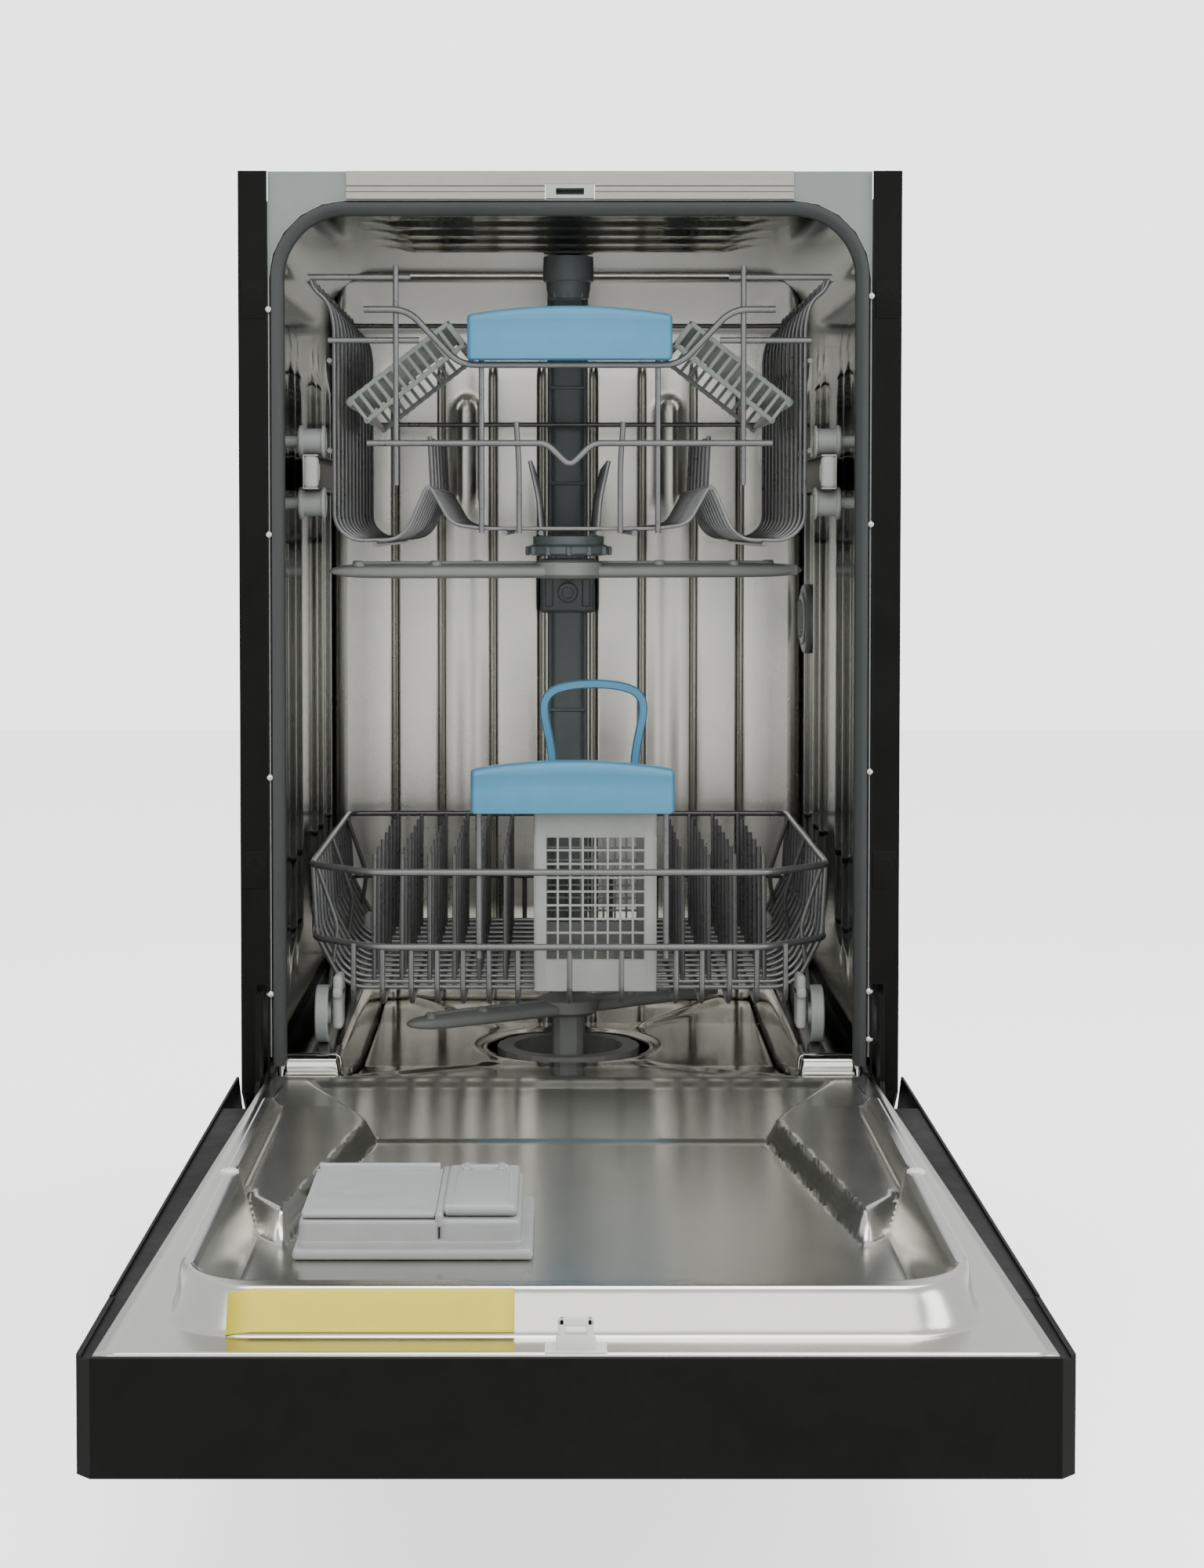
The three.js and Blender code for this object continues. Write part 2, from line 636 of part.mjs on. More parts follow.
// fold-down cup shelf: a ribbed tray hinged on the rack's side, drawn part raised
const shelf_hinge_x = upper_rack_width / 2 - 26;
const shelf_hinge_z = upper_rack_rim - 86;
const shelf_reach = 92;
const shelf_length = 190;
const shelf_angle = THREE.MathUtils.degToRad(38);

function cupShelf(side) {
  const slab = block([0, shelf_reach], [0, shelf_length], [-2, 2]);
  const edge = block([shelf_reach - 3, shelf_reach], [0, shelf_length], [-1, 9]);
  const knuckle = rod([0, 0, 0], [0, shelf_length, 0], 4, 10);
  const slots = [0, 1, 2].flatMap((i) => [0, 1, 2, 3, 4].map((j) =>
    block([12 + i * 25, 32 + i * 25], [10 + j * 35, 36 + j * 35], [-5, 5])));
  const shelf = cut(join(slab, edge, knuckle), ...slots).rotateY(-shelf_angle);
  if (side > 0) shelf.rotateZ(Math.PI).translate(0, shelf_length, 0);
  return shelf.translate(side * shelf_hinge_x, rack_front + 22, shelf_hinge_z);
}
for (const [name, side] of sides) part(`cup_shelf_${name}`, cupShelf(side), clear_plastic);

const upper_arm_level = dock_level - 9;
function upperArmDuct() {
  const top = upper_rack_floor - 5;
  const hub = rod([0, upper_arm_y, upper_arm_level + arm_thickness + 5], [0, upper_arm_y, top], 31, 20);
  const pipe = block([-11, 11], [upper_arm_y, column_front - 12],
    [upper_arm_level + arm_thickness + 6.5, top]);
  const mouth = rod([0, column_front - 20, dock_level + 1], [0, column_front - 9, dock_level + 1], 14, 12);
  const drop = block([-11, 11], [column_front - 22, column_front - 12], [dock_level, top]);
  return join(hub, pipe, drop, mouth);
}
part('upper_arm_duct', upperArmDuct(), grey_plastic);
part('upper_spray_arm', sprayArm(0, upper_arm_y, upper_arm_level, upper_arm_length, 0.16, 26), grey_plastic);

// ---------------------------------------------------------------- lower rack
const lower_back = rack_front + lower_rack_depth - 12;
const lower_front = rack_front - 10;
const lower_handle_x = 2;

function rimLoop(halfWidth, z) {
  const f = lower_front;
  const corner = 46;
  const points = [[-23, f, z], [halfWidth - corner, f, z], [halfWidth, f + corner, z],
    [halfWidth, lower_back, z], [-halfWidth, lower_back, z], [-halfWidth, f + corner, z],
    [-halfWidth + corner, f, z], [-17, f + 0.5, z + 0.4]];
  return wire(points);
}

function lowerRackFrame() {
  const rim = lower_rack_width / 2;
  const low = lower_rack_floor;
  const right = [[0, low], [rim - 31, low], [rim - 19, low + 8], [rim - 3, lower_rack_mid],
    [rim, lower_rack_rim]];
  const left = right.slice(1).map(([x, z]) => [-x, z]).reverse();
  const solids = [rimLoop(rim, lower_rack_rim), rimLoop(rim - 2, lower_rack_mid)];
  const count = 6;
  const first = lower_front + 50;
  const rows = [];
  for (let i = 0; i < count; i++) rows.push(first + (i * (lower_back - first)) / (count - 1));
  for (const y of rows) solids.push(wire([...left, ...right].map(([x, z]) => [x, y, z])));
  const under = low - weld + 0.4;
  const beside = basket_width / 2 + 31;
  const tine_columns = [-rim + 53, basket_off_centre - beside - 36, basket_off_centre - beside,
    basket_off_centre + beside, rim - 53];
  for (const x of [...tine_columns, 0]) {
    solids.push(wire([[x, lower_front + 1, lower_rack_mid], [x, lower_front + 1, under],
      [x, lower_back + 4, under]]));
  }
  for (const row of [rows[1], rows[3]]) {
    for (const x of tine_columns) {
      solids.push(wire([[x, row, under], [x, row + 12, low + 88]]));
    }
  }
  for (const x of [lower_handle_x - 65, lower_handle_x + 65]) {
    solids.push(wire([[x, lower_front + weld, lower_rack_mid - 8],
      [x, lower_front + weld, lower_rack_rim + 40]]));
  }
  return join(...solids);
}
part('lower_rack_frame', lowerRackFrame(), wire_coat);
part('lower_rack_handle', rackHandle(lower_handle_x, lower_front - 8, lower_rack_rim + 41), blue_plastic);

const wheel_level = ledge_top + gap + wheel_radius;
const wheel_rows = [['front', rack_front + 14], ['rear', rack_front + lower_rack_depth - 80]];
for (const [name, side] of sides) {
  for (const [row, y] of wheel_rows) {
    const x = wheel_track / 2;
    const tread = rod([side * (x - wheel_width / 2), y, wheel_level],
      [side * (x + wheel_width / 2), y, wheel_level], wheel_radius, 20);
    const axle = rod([side * (x - 14), y, wheel_level], [side * x, y, wheel_level], 4, 10);
    part(`lower_wheel_${row}_${name}`, join(tread, axle), pale_plastic);
  }
}

const basket_y = rack_front + 8;
const basket_base = lower_rack_floor + wire_radius + 1;
const basket_x = basket_off_centre;
const basket_wall = 2.5;
function cutleryBasket() {
  const w = basket_width / 2;
  const wall = basket_wall;
  const top = basket_base + basket_height;
  const shell = block([basket_x - w, basket_x + w], [basket_y, basket_y + basket_depth], [basket_base, top]);
  const hollow = block([basket_x - w + wall, basket_x + w - wall],
    [basket_y + wall, basket_y + basket_depth - wall], [basket_base + wall, top + 1]);
  return cut(shell, hollow);
}
part('cutlery_basket', cutleryBasket(), pale_plastic);

const loop_radius = 3.4;
const loop_half = basket_width / 2 - basket_wall - loop_radius - 0.6;
const loop_pivot = basket_base + basket_height - 8;
const loop_top = loop_pivot + 96;
function basketHandle() {
  const y = basket_y + basket_depth / 2;
  const reach = loop_top - loop_pivot;
  const points = [[basket_x - loop_half, y, loop_pivot], [basket_x - loop_half + 8, y, loop_pivot + reach * 0.55],
    [basket_x - loop_half + 4, y, loop_top - 10], [basket_x - 18, y, loop_top], [basket_x + 18, y, loop_top],
    [basket_x + loop_half - 4, y, loop_top - 10], [basket_x + loop_half - 8, y, loop_pivot + reach * 0.55],
    [basket_x + loop_half, y, loop_pivot]];
  return wire(points, loop_radius, 8);
}
part('basket_handle', basketHandle(), blue_plastic);

// ---------------------------------------------------------------- door
const liner_half_tip = half - 8;
const liner_half_root = strip_inner - 1.5;
const shell_end = -1;                 // the door's hinge end keeps this far ahead of the cabinet
const console_back = door_tip + console_height;
const pan_level = liner_top - pan_drop;
const lane_level = ledge_top - 1.2;
const ridge_level = liner_top + plateau_rise;
const ridge_inner = wheel_track / 2 + wheel_width / 2 + 3;
const lane_inner = wheel_track / 2 - wheel_width / 2 - 4;

function linerHalf(y) {
  const share = (hinge_y - y) / (hinge_y - door_tip);
  return liner_half_root + (liner_half_tip - liner_half_root) * share;
}

// how far the raised part's end draws in at y, to follow the seal's round corner
function cornerInset(y) {
  const short = Math.max(gasket_corner - (y - plateau_tip), 0);
  return gasket_corner - Math.sqrt(gasket_corner ** 2 - short ** 2);
}

// across the door: flange, raised ridge, wheel lane, pan; each wall's underside is set in by the sheet
function doorLiner() {
  const across = [
    { x: liner_half_tip, shift: 0, z: liner_top },
    { x: plateau_half, shift: -sheet, z: liner_top },
    { x: plateau_half - 2, shift: -sheet, z: ridge_level },
    { x: ridge_inner + 2, shift: sheet, z: ridge_level },
    { x: ridge_inner, shift: sheet, z: lane_level },
    { x: lane_inner, shift: 0, z: lane_level },
    { x: lane_inner - 18, shift: 0, z: pan_level }];
  const columns = [...across.map((c) => ({ ...c, x: -c.x, shift: -c.shift })), ...across.slice().reverse()];
  const outer = (i) => i < 2 || i > columns.length - 3;
  const rows = [
    { y: door_tip + 3, lift: () => liner_top },
    { y: plateau_tip, lift: () => liner_top },
    { y: plateau_tip + 5, lift: (c, i) => (outer(i) ? liner_top : liner_top + plateau_rise * 0.3) },
    { y: plateau_tip + 16, lift: (c, i) => (outer(i) ? liner_top : ridge_level) },
    { y: plateau_tip + 24, lift: (c, i) => (outer(i) ? liner_top : ridge_level) },
    { y: plateau_tip + 48, lift: (c) => c.z },
    { y: hinge_y - 164, lift: (c) => c.z },
    { y: hinge_y - 124, lift: (c) => Math.min(c.z, lane_level) },
    { y: hinge_y - 12, lift: (c) => Math.min(Math.max(c.z, liner_top - 1), lane_level) },
    { y: hinge_y, lift: () => liner_top }];
  const box = new THREE.BoxGeometry(1, 1, 1, columns.length - 1, rows.length - 1, 1);
  const place = box.attributes.position;
  for (let k = 0; k < place.count; k++) {
    const i = Math.round((place.getX(k) + 0.5) * (columns.length - 1));
    const j = Math.round((place.getY(k) + 0.5) * (rows.length - 1));
    const under = place.getZ(k) < 0;
    const column = columns[i];
    const { y, lift } = rows[j];
    const atEdge = i === 0 || i === columns.length - 1;
    const drawn = column.x - Math.sign(column.x) * cornerInset(Math.max(y, plateau_tip));
    const x = atEdge ? Math.sign(column.x) * linerHalf(y) : drawn + (under ? column.shift : 0);
    place.setXYZ(k, x, y, lift(column, i) - (under ? sheet : 0));
  }
  const arc = (rise, reach) => Array.from({ length: 7 }, (_, k) => {
    const a = Math.PI / 2 - (k * Math.PI) / 12;
    return [hinge_y + reach * Math.cos(a), hinge_height + rise * Math.sin(a)];
  });
  const reach = hinge_offset + shell_end;
  const lip = [[hinge_y - 2, liner_top], ...arc(hinge_offset, reach),
    ...arc(hinge_offset - sheet, reach - sheet).reverse(), [hinge_y - 2, liner_top - sheet]];
  return join(box, alongX(outlineOf(lip.reverse()), -liner_half_root, liner_half_root));
}

function doorOuterPanel() {
  const wall_top = liner_top - sheet - gap;
  const [y0, y1] = [console_back + gap, -5];
  const plate = block([-half, half], [y0, y1], [door_bottom, door_bottom + sheet]);
  const wall = outlineOf([[y0, door_bottom], [y1, door_bottom], [y1, hinge_height],
    [hinge_y, liner_top], [y0, liner_top]]);
  const solids = [plate];
  for (const side of [-1, 1]) {
    solids.push(alongX(wall, ...onSide(side, half - sheet, half)));
    solids.push(block(onSide(side, liner_half_root - 6, half - 0.5), [y0, hinge_y - 94],
      [wall_top - sheet, wall_top]));
  }
  solids.push(block([-liner_half_root, liner_half_root], [y1 - 1, y1 + 1],
    [door_bottom + 0.5, hinge_height - 4]));
  return join(...solids);
}

const pocket_half = 70;
const button_radius = 7;
const button_places = [['power_button', 128], ['start_button', 160]];
const button_y = door_tip + 55;
function controlPanel() {
  const chamfer = 7;
  const outline = new THREE.Shape([[-half, console_back], [-half, door_tip + chamfer],
    [-half + chamfer, door_tip], [half - chamfer, door_tip], [half, door_tip + chamfer], [half, console_back]]
    .map(([x, y]) => new THREE.Vector2(x, y)));
  const body = alongZ(outline, door_bottom, liner_top - 0.5);
  const wall = 2.5;
  const hollow = block([-half + wall + 6, half - wall - 6], [door_tip + wall, console_back + 1],
    [door_bottom + wall, liner_top + 1]);
  const seat = block([-half + wall, half - wall], [door_tip + wall, console_back + 1],
    [liner_top - sheet - gap, liner_top + 1]);
  const pocket_y = [door_tip + 12, door_tip + 40];
  const pocket = block([-pocket_half - wall, pocket_half + wall], [pocket_y[0] - wall, pocket_y[1] + wall],
    [door_bottom + 0.5, door_bottom + 24]);
  const grip = block([-pocket_half, pocket_half], pocket_y, [door_bottom - 1, door_bottom + 22]);
  const holes = button_places.map(([, x]) =>
    rod([x, button_y, door_bottom - 1], [x, button_y, door_bottom + 8], button_radius + 0.5, 16));
  return cut(join(cut(body, hollow, seat), pocket), grip, ...holes);
}

part('door_inner_liner', doorLiner(), steel);
part('door_outer_panel', doorOuterPanel(), black_paint);
part('control_panel', controlPanel(), black_plastic);
for (const [name, x] of button_places) {
  const low = door_bottom + 0.2;
  part(name, turned([[0, low], [button_radius, low], [button_radius, low + 3.5], [button_radius + 2.5, low + 3.5],
    [button_radius + 2.5, low + 5.5], [0, low + 5.5]], x, button_y, 16), black_plastic);
}

// dispenser: housing on the pan with a detergent cup and a rinse-aid well, each under its own lid
const dispenser_set_in = 1.5;          // pan's edge to the dispenser's plate
const dispenser_rise = 326;           // hinge to the dispenser's near end
const dispenser_length = 110;
const dispenser_left = -(lane_inner - 18 - dispenser_set_in);
const acrossDispenser = (a, b) => [dispenser_left + a, dispenser_left + b];
const dispenser_y = [hinge_y - dispenser_rise - dispenser_length, hinge_y - dispenser_rise];
const lid_level = pan_level + 20;
function dispenserBody() {
  const [y0, y1] = dispenser_y;
  const plate = block(acrossDispenser(0, 124), [y0 - 4, y1 + 4], [pan_level + gap, pan_level + 6]);
  const housing = block(acrossDispenser(3, 118), [y0, y1], [pan_level + 1, lid_level]);
  const cup = block(acrossDispenser(7, 69), [y0 + 8, y1 - 20], [pan_level + 4, lid_level + 1]);
  const well = block(acrossDispenser(81, 113), [y0 + 26, y1 - 8], [pan_level + 4, lid_level + 1]);
  return cut(join(plate, housing), cup, well);
}
function lid([x0, x1], [y0, y1], hinge) {
  const plate = block([x0, x1], [y0, y1], [lid_level + gap, lid_level + 4]);
  const knuckle = rod([x0 + 2, hinge, lid_level + 3.5], [x1 - 2, hinge, lid_level + 3.5], 3, 12);
  return join(plate, knuckle);
}
part('dispenser_body', dispenserBody(), grey_plastic);
const [dispenser_far, dispenser_near] = dispenser_y;
part('detergent_lid', lid(acrossDispenser(4, 74), [dispenser_far + 2, dispenser_near - 7], dispenser_near - 8),
  grey_plastic);
part('rinse_aid_lid', lid(acrossDispenser(77, 116), [dispenser_far + 8, dispenser_near - 3], dispenser_far + 9),
  grey_plastic);

function doorLatch() {
  const y = open_reach((latch_bottom + latch_top) / 2);
  const keeper = block([-14, 14], [y - 6, y + 10], [liner_top + 0.15, liner_top + 0.85]);
  const tab = block([-8, 8], [y - 1.5, y + 1.5], [liner_top + 0.3, liner_top + 15]);
  return join(keeper, tab);
}
part('door_latch', doorLatch(), grey_plastic);

// ---------------------------------------------------------------- hinges
const arm_x = [strip_inner + 2.5, strip_inner + 5.5];
const pin_radius = 4;
const fromHinge = ([y, z]) => [hinge_y + y, hinge_height + z];
function hingeArm(side) {
  const top = slot_top - 2 - hinge_height;
  const outline = outlineOf([[-84, -22], [10, -22], [12, -4], [10, 20], [8, top], [-8, top], [-12, 25],
    [-22, 16], [-84, 16]].map(fromHinge));
  const [x0, x1] = onSide(side, ...arm_x);
  const bore = rod([side * (arm_x[0] - 5), hinge_y, hinge_height], [side * (arm_x[1] + 5), hinge_y, hinge_height],
    pin_radius + 0.5, 14);
  return cut(alongX(outline, x0, x1), bore);
}
function hingeUnit(side) {
  const plate_x = [arm_x[1] + 1, arm_x[1] + 4];
  const outline = outlineOf([[-8, -9], [106, -14], [106, 8], [-8, 8]].map(fromHinge));
  const plate = alongX(outline, ...onSide(side, ...plate_x));
  const pin = rod([side * (arm_x[0] - 1), hinge_y, hinge_height], [side * (plate_x[1] - 0.5), hinge_y, hinge_height],
    pin_radius, 14);
  const tube_x = side * (arm_x[1] + 6.5);
  const tube = rod([tube_x, ...fromHinge([86, -3])], [tube_x, ...fromHinge([346, -3])], 4.8, 12);
  return join(plate, pin, tube);
}
for (const [name, side] of sides) {
  part(`hinge_arm_${name}`, hingeArm(side), black_paint);
  part(`hinge_unit_${name}`, hingeUnit(side), zinc);
}

export default dishwasher;
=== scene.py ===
"""Looks of a slimline built-in dishwasher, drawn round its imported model.

Lengths in this file are millimetres in the cabinet's own frame: x across, y back from the plane of the
mouth, z up from the floor. place() turns them into metres in the model's frame.
"""

import json
import math

import bmesh
import bpy
import numpy as np
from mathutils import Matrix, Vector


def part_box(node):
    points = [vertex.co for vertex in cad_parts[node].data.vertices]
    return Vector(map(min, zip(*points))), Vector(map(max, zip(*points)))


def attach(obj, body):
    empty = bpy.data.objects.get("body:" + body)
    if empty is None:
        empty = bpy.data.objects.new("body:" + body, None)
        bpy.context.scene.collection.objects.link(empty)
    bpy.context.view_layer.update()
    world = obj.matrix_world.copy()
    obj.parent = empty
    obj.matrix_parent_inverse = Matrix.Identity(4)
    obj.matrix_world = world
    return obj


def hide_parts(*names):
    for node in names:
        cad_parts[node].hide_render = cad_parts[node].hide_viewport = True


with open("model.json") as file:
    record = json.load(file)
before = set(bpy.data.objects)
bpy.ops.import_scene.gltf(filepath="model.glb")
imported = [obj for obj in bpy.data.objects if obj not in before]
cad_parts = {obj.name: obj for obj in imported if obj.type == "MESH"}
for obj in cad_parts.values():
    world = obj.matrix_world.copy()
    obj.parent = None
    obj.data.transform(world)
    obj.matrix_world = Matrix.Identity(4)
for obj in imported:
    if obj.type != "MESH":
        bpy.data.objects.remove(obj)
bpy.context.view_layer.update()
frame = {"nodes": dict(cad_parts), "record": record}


# ------------------------------------------------------------------ places read from the frame
# The side panels start this far behind the plane of the mouth.
FACE_GAP = 1.0
SHIFT = np.array([0.0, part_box("side_panel_left")[0][1] * 1000.0 - FACE_GAP, 0.0])


def place(points):
    """Millimetres in the cabinet's frame to metres in the model's frame."""
    return (np.asarray(points, dtype=float) + SHIFT) * 0.001


# ------------------------------------------------------------------ surfaces
def grid_faces(rows, columns, wrap=False):
    """Quads of a grid of points numbered row by row; wrap joins the last column to the first."""
    i = np.arange(rows - 1)[:, None]
    j = np.arange(columns if wrap else columns - 1)[None, :]
    k = (j + 1) % columns
    quads = np.stack([i * columns + j, i * columns + k, (i + 1) * columns + k, (i + 1) * columns + j],
                     axis=-1)
    return quads.reshape(-1, 4)


def loft(rings):
    """A closed solid through rings (m, n, 3): each joins to the next, and both ends close on a point."""
    rings = np.asarray(rings, dtype=float)
    ends = [np.repeat(rings[k].mean(axis=0)[None, None], rings.shape[1], axis=1) for k in (0, -1)]
    full = np.concatenate([ends[0], rings, ends[1]], axis=0)
    return full.reshape(-1, 3), grid_faces(full.shape[0], full.shape[1], wrap=True)


def merged(solids):
    """Several (points, faces) pairs as one pair."""
    points, faces, count = [], [], 0
    for p, f in solids:
        points.append(p)
        faces.append(f + count)
        count += len(p)
    return np.concatenate(points), np.concatenate(faces)


def eased(points, radius, steps=4):
    """A polyline with each corner replaced by a parabola that starts and ends radius away from it."""
    points = np.asarray(points, dtype=float)
    run = [points[:1]]
    t = np.linspace(0, 1, steps + 1)[:, None]
    for before, here, after in zip(points[:-2], points[1:-1], points[2:]):
        a, b = before - here, after - here
        a *= min(radius, 0.45 * np.linalg.norm(a)) / np.linalg.norm(a)
        b *= min(radius, 0.45 * np.linalg.norm(b)) / np.linalg.norm(b)
        run.append(here + a * (1 - t) ** 2 + b * t ** 2)
    run.append(points[-1:])
    return np.concatenate(run)


def level_of(path):
    """The direction square to the plane that a bent path lies in, or to a straight path."""
    _, spread, axes = np.linalg.svd(path - path.mean(axis=0), full_matrices=False)
    if spread[1] > 1e-6:
        return axes[2]
    return np.eye(3)[np.argmin(np.abs(axes[0]))]


def swept(path, section, across=None):
    """A section of (side, up) pairs carried along a path.

    side is the cross product of across and the path's heading, and up is square to both.
    """
    path = np.asarray(path, dtype=float)
    across = level_of(path) if across is None else across
    heading = np.gradient(path, axis=0)
    heading /= np.linalg.norm(heading, axis=1)[:, None]
    across = np.broadcast_to(np.asarray(across, dtype=float), heading.shape)
    side = np.cross(across, heading)
    side /= np.linalg.norm(side, axis=1)[:, None]
    up = np.cross(heading, side)
    section = np.asarray(section, dtype=float)
    sideways, upwards = section[None, :, 0, None], section[None, :, 1, None]
    return loft(path[:, None] + sideways * side[:, None] + upwards * up[:, None])


def circle(radius, sides):
    """Points of a circle, anticlockwise."""
    a = np.linspace(0, 2 * math.pi, sides, endpoint=False)
    return np.stack([radius * np.cos(a), radius * np.sin(a)], axis=1)


def wire(points, radius=1.9, across=None, bend=7.0, sides=10, steps=4):
    """A round wire through points, its corners eased."""
    points = np.asarray(points, dtype=float)
    path = eased(points, bend, steps) if len(points) > 2 else points
    return swept(path, circle(radius, sides), across)


def turned(profile, centre, axis="z", sides=40, stretch=(1.0, 1.0)):
    """A profile of (radius, height) pairs turned about an axis through centre."""
    profile = np.asarray(profile, dtype=float)
    a = np.linspace(0, 2 * math.pi, sides, endpoint=False)
    u = profile[:, 0, None] * np.cos(a)[None] * stretch[0]
    v = profile[:, 0, None] * np.sin(a)[None] * stretch[1]
    w = np.repeat(profile[:, 1, None], sides, axis=1)
    order = {"z": (u, v, w), "x": (w, u, v), "y": (v, w, u)}[axis]
    return loft(np.stack(order, axis=-1) + np.asarray(centre, dtype=float))


def soft_block(low, high, radius, steps=3):
    """A box with round edges: a sphere's eighths pulled apart to the box's corners."""
    low, high = np.asarray(low, dtype=float), np.asarray(high, dtype=float)
    half = (high - low) / 2
    radius = min(radius, half.min() * 0.98)
    quarter = np.linspace(0, math.pi / 2, steps + 1)
    phi = np.concatenate([quarter + k * math.pi / 2 for k in range(4)])
    sx = np.repeat([1, -1, -1, 1], steps + 1)
    sy = np.repeat([1, 1, -1, -1], steps + 1)
    theta = np.concatenate([quarter - math.pi / 2, quarter])
    sz = np.repeat([-1, 1], steps + 1)
    flat = half - radius
    x = sx[None] * flat[0] + radius * np.cos(theta)[:, None] * np.cos(phi)[None]
    y = sy[None] * flat[1] + radius * np.cos(theta)[:, None] * np.sin(phi)[None]
    z = np.repeat((sz * flat[2] + radius * np.sin(theta))[:, None], len(phi), axis=1)
    return loft(np.stack([x, y, z], axis=-1) + (low + high) / 2)


def sheet_grid(points):
    """An open sheet from a grid of points (m, n, 3)."""
    points = np.asarray(points, dtype=float)
    return points.reshape(-1, 3), grid_faces(points.shape[0], points.shape[1])


def spaced(stops, steps):
    """Values that run through stops, with so many even steps from each stop to the next."""
    runs = [np.linspace(a, b, n + 1)[:-1] for a, b, n in zip(stops[:-1], stops[1:], steps)]
    return np.concatenate([*runs, stops[-1:]])


def smooth_step(t):
    """0 below 0, 1 above 1, and an S between."""
    t = np.clip(t, 0, 1)
    return t * t * (3 - 2 * t)


def bump(distance, width):
    """1 in the middle, falling smoothly to 0 at width to either side."""
    return smooth_step(1 - np.abs(distance) / width)


# ------------------------------------------------------------------ pieces
def piece(name, solid, material, body, replaces=(), crease=38.0, thickness=0.0):
    """Makes one mesh object from (points, faces), gives it its finish and fixes it to its body.

    An open sheet gets a thickness, which grows away from the side that its faces look to.
    """
    points, faces = solid
    mesh = bpy.data.meshes.new(name)
    mesh.from_pydata(place(points).tolist(), [], faces.tolist())
    work = bmesh.new()
    work.from_mesh(mesh)
    bmesh.ops.remove_doubles(work, verts=work.verts, dist=2e-6)
    if thickness == 0.0:
        bmesh.ops.recalc_face_normals(work, faces=work.faces)
    work.to_mesh(mesh)
    work.free()
    mesh.shade_smooth()
    mesh.set_sharp_from_angle(angle=math.radians(crease))
    made = bpy.data.objects.new(name, mesh)
    bpy.context.scene.collection.objects.link(made)
    if thickness:
        solidify = made.modifiers.new("wall", "SOLIDIFY")
        solidify.thickness = thickness * 0.001
        solidify.offset = -1.0
    mesh.materials.append(material)
    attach(made, body)
    if replaces:
        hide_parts(*replaces)
    return made


# ------------------------------------------------------------------ camera
EYE = (-8.0, -1884.0, 576.0)
TIPPED_DOWN = 2.2
LENS, SENSOR_WIDTH = 63.9, 36.0
LENS_SHIFT = (0.028, -0.0965)


def camera():
    """Straight in front at three quarters of the cabinet's height, tipped down a little."""
    data = bpy.data.cameras.new("camera")
    data.lens = LENS
    data.sensor_width = SENSOR_WIDTH
    data.shift_x, data.shift_y = LENS_SHIFT
    made = bpy.data.objects.new("camera", data)
    made.location = place(EYE).tolist()
    made.rotation_euler = (math.radians(90.0 - TIPPED_DOWN), 0.0, 0.0)
    bpy.context.scene.collection.objects.link(made)
    bpy.context.scene.camera = made


camera()


# ------------------------------------------------------------------ shader groups
class Tree:
    """Short calls for building a node tree."""

    def __init__(self, tree):
        self.tree = tree

    def give(self, socket, value):
        """Links a socket to another node's output, or sets its constant."""
        if isinstance(value, bpy.types.NodeSocket):
            self.tree.links.new(value, socket)
        else:
            socket.default_value = value

    def add(self, kind, settings=None, **values):
        """A node of a kind, with its settings and its inputs by name."""
        node = self.tree.nodes.new(kind)
        for key, value in (settings or {}).items():
            setattr(node, key, value)
        for key, value in values.items():
            self.give(node.inputs[key.replace("_", " ")], value)
        return node

    def join(self, output, socket):
        """A link from an output to an input."""
        self.tree.links.new(output, socket)

    def math(self, operation, a, b=0.0, c=0.0):
        """The result of a sum on up to three values."""
        node = self.tree.nodes.new("ShaderNodeMath")
        node.operation = operation
        for socket, value in zip(node.inputs, (a, b, c)):
            self.give(socket, value)
        return node.outputs[0]

    def mix(self, share, a, b):
        """Colour a drifting to colour b by a share."""
        node = self.tree.nodes.new("ShaderNodeMix")
        node.data_type = "RGBA"
        for socket, value in zip((node.inputs[0], node.inputs[6], node.inputs[7]), (share, a, b)):
            self.give(socket, value)
        return node.outputs[2]


def new_group(name, inputs, outputs):
    """An empty shader group with named sockets, as (tree, its inputs, its output node)."""
    group = bpy.data.node_groups.new(name, "ShaderNodeTree")
    for socket_name, kind, value in inputs:
        socket = group.interface.new_socket(socket_name, in_out="INPUT", socket_type=kind)
        socket.default_value = value
    for socket_name, kind in outputs:
        group.interface.new_socket(socket_name, in_out="OUTPUT", socket_type=kind)
    tree = Tree(group)
    return group, tree, tree.add("NodeGroupInput").outputs, tree.add("NodeGroupOutput").inputs


def smudge_group():
    """Soft cloudy smears with finer specks inside them: a mask from 0 to 1."""
    group, tree, given, out = new_group(
        "smudges", [("Scale", "NodeSocketFloat", 8.0)], [("Mask", "NodeSocketFloat")])
    where = tree.add("ShaderNodeTexCoord").outputs["Object"]
    broad = tree.add("ShaderNodeTexNoise", Vector=where, Scale=given["Scale"], Detail=5.0, Roughness=0.6,
                     Distortion=0.6)
    fine = tree.add("ShaderNodeTexNoise", Vector=where, Scale=tree.math("MULTIPLY", given["Scale"], 9.0),
                    Detail=3.0, Roughness=0.7)
    both = tree.math("MULTIPLY_ADD", fine.outputs["Fac"], 0.35,
                     tree.math("MULTIPLY", broad.outputs["Fac"], 0.65))
    ramp = tree.add("ShaderNodeMapRange", Value=both, From_Min=0.38, From_Max=0.66)
    tree.join(ramp.outputs["Result"], out["Mask"])
    return group


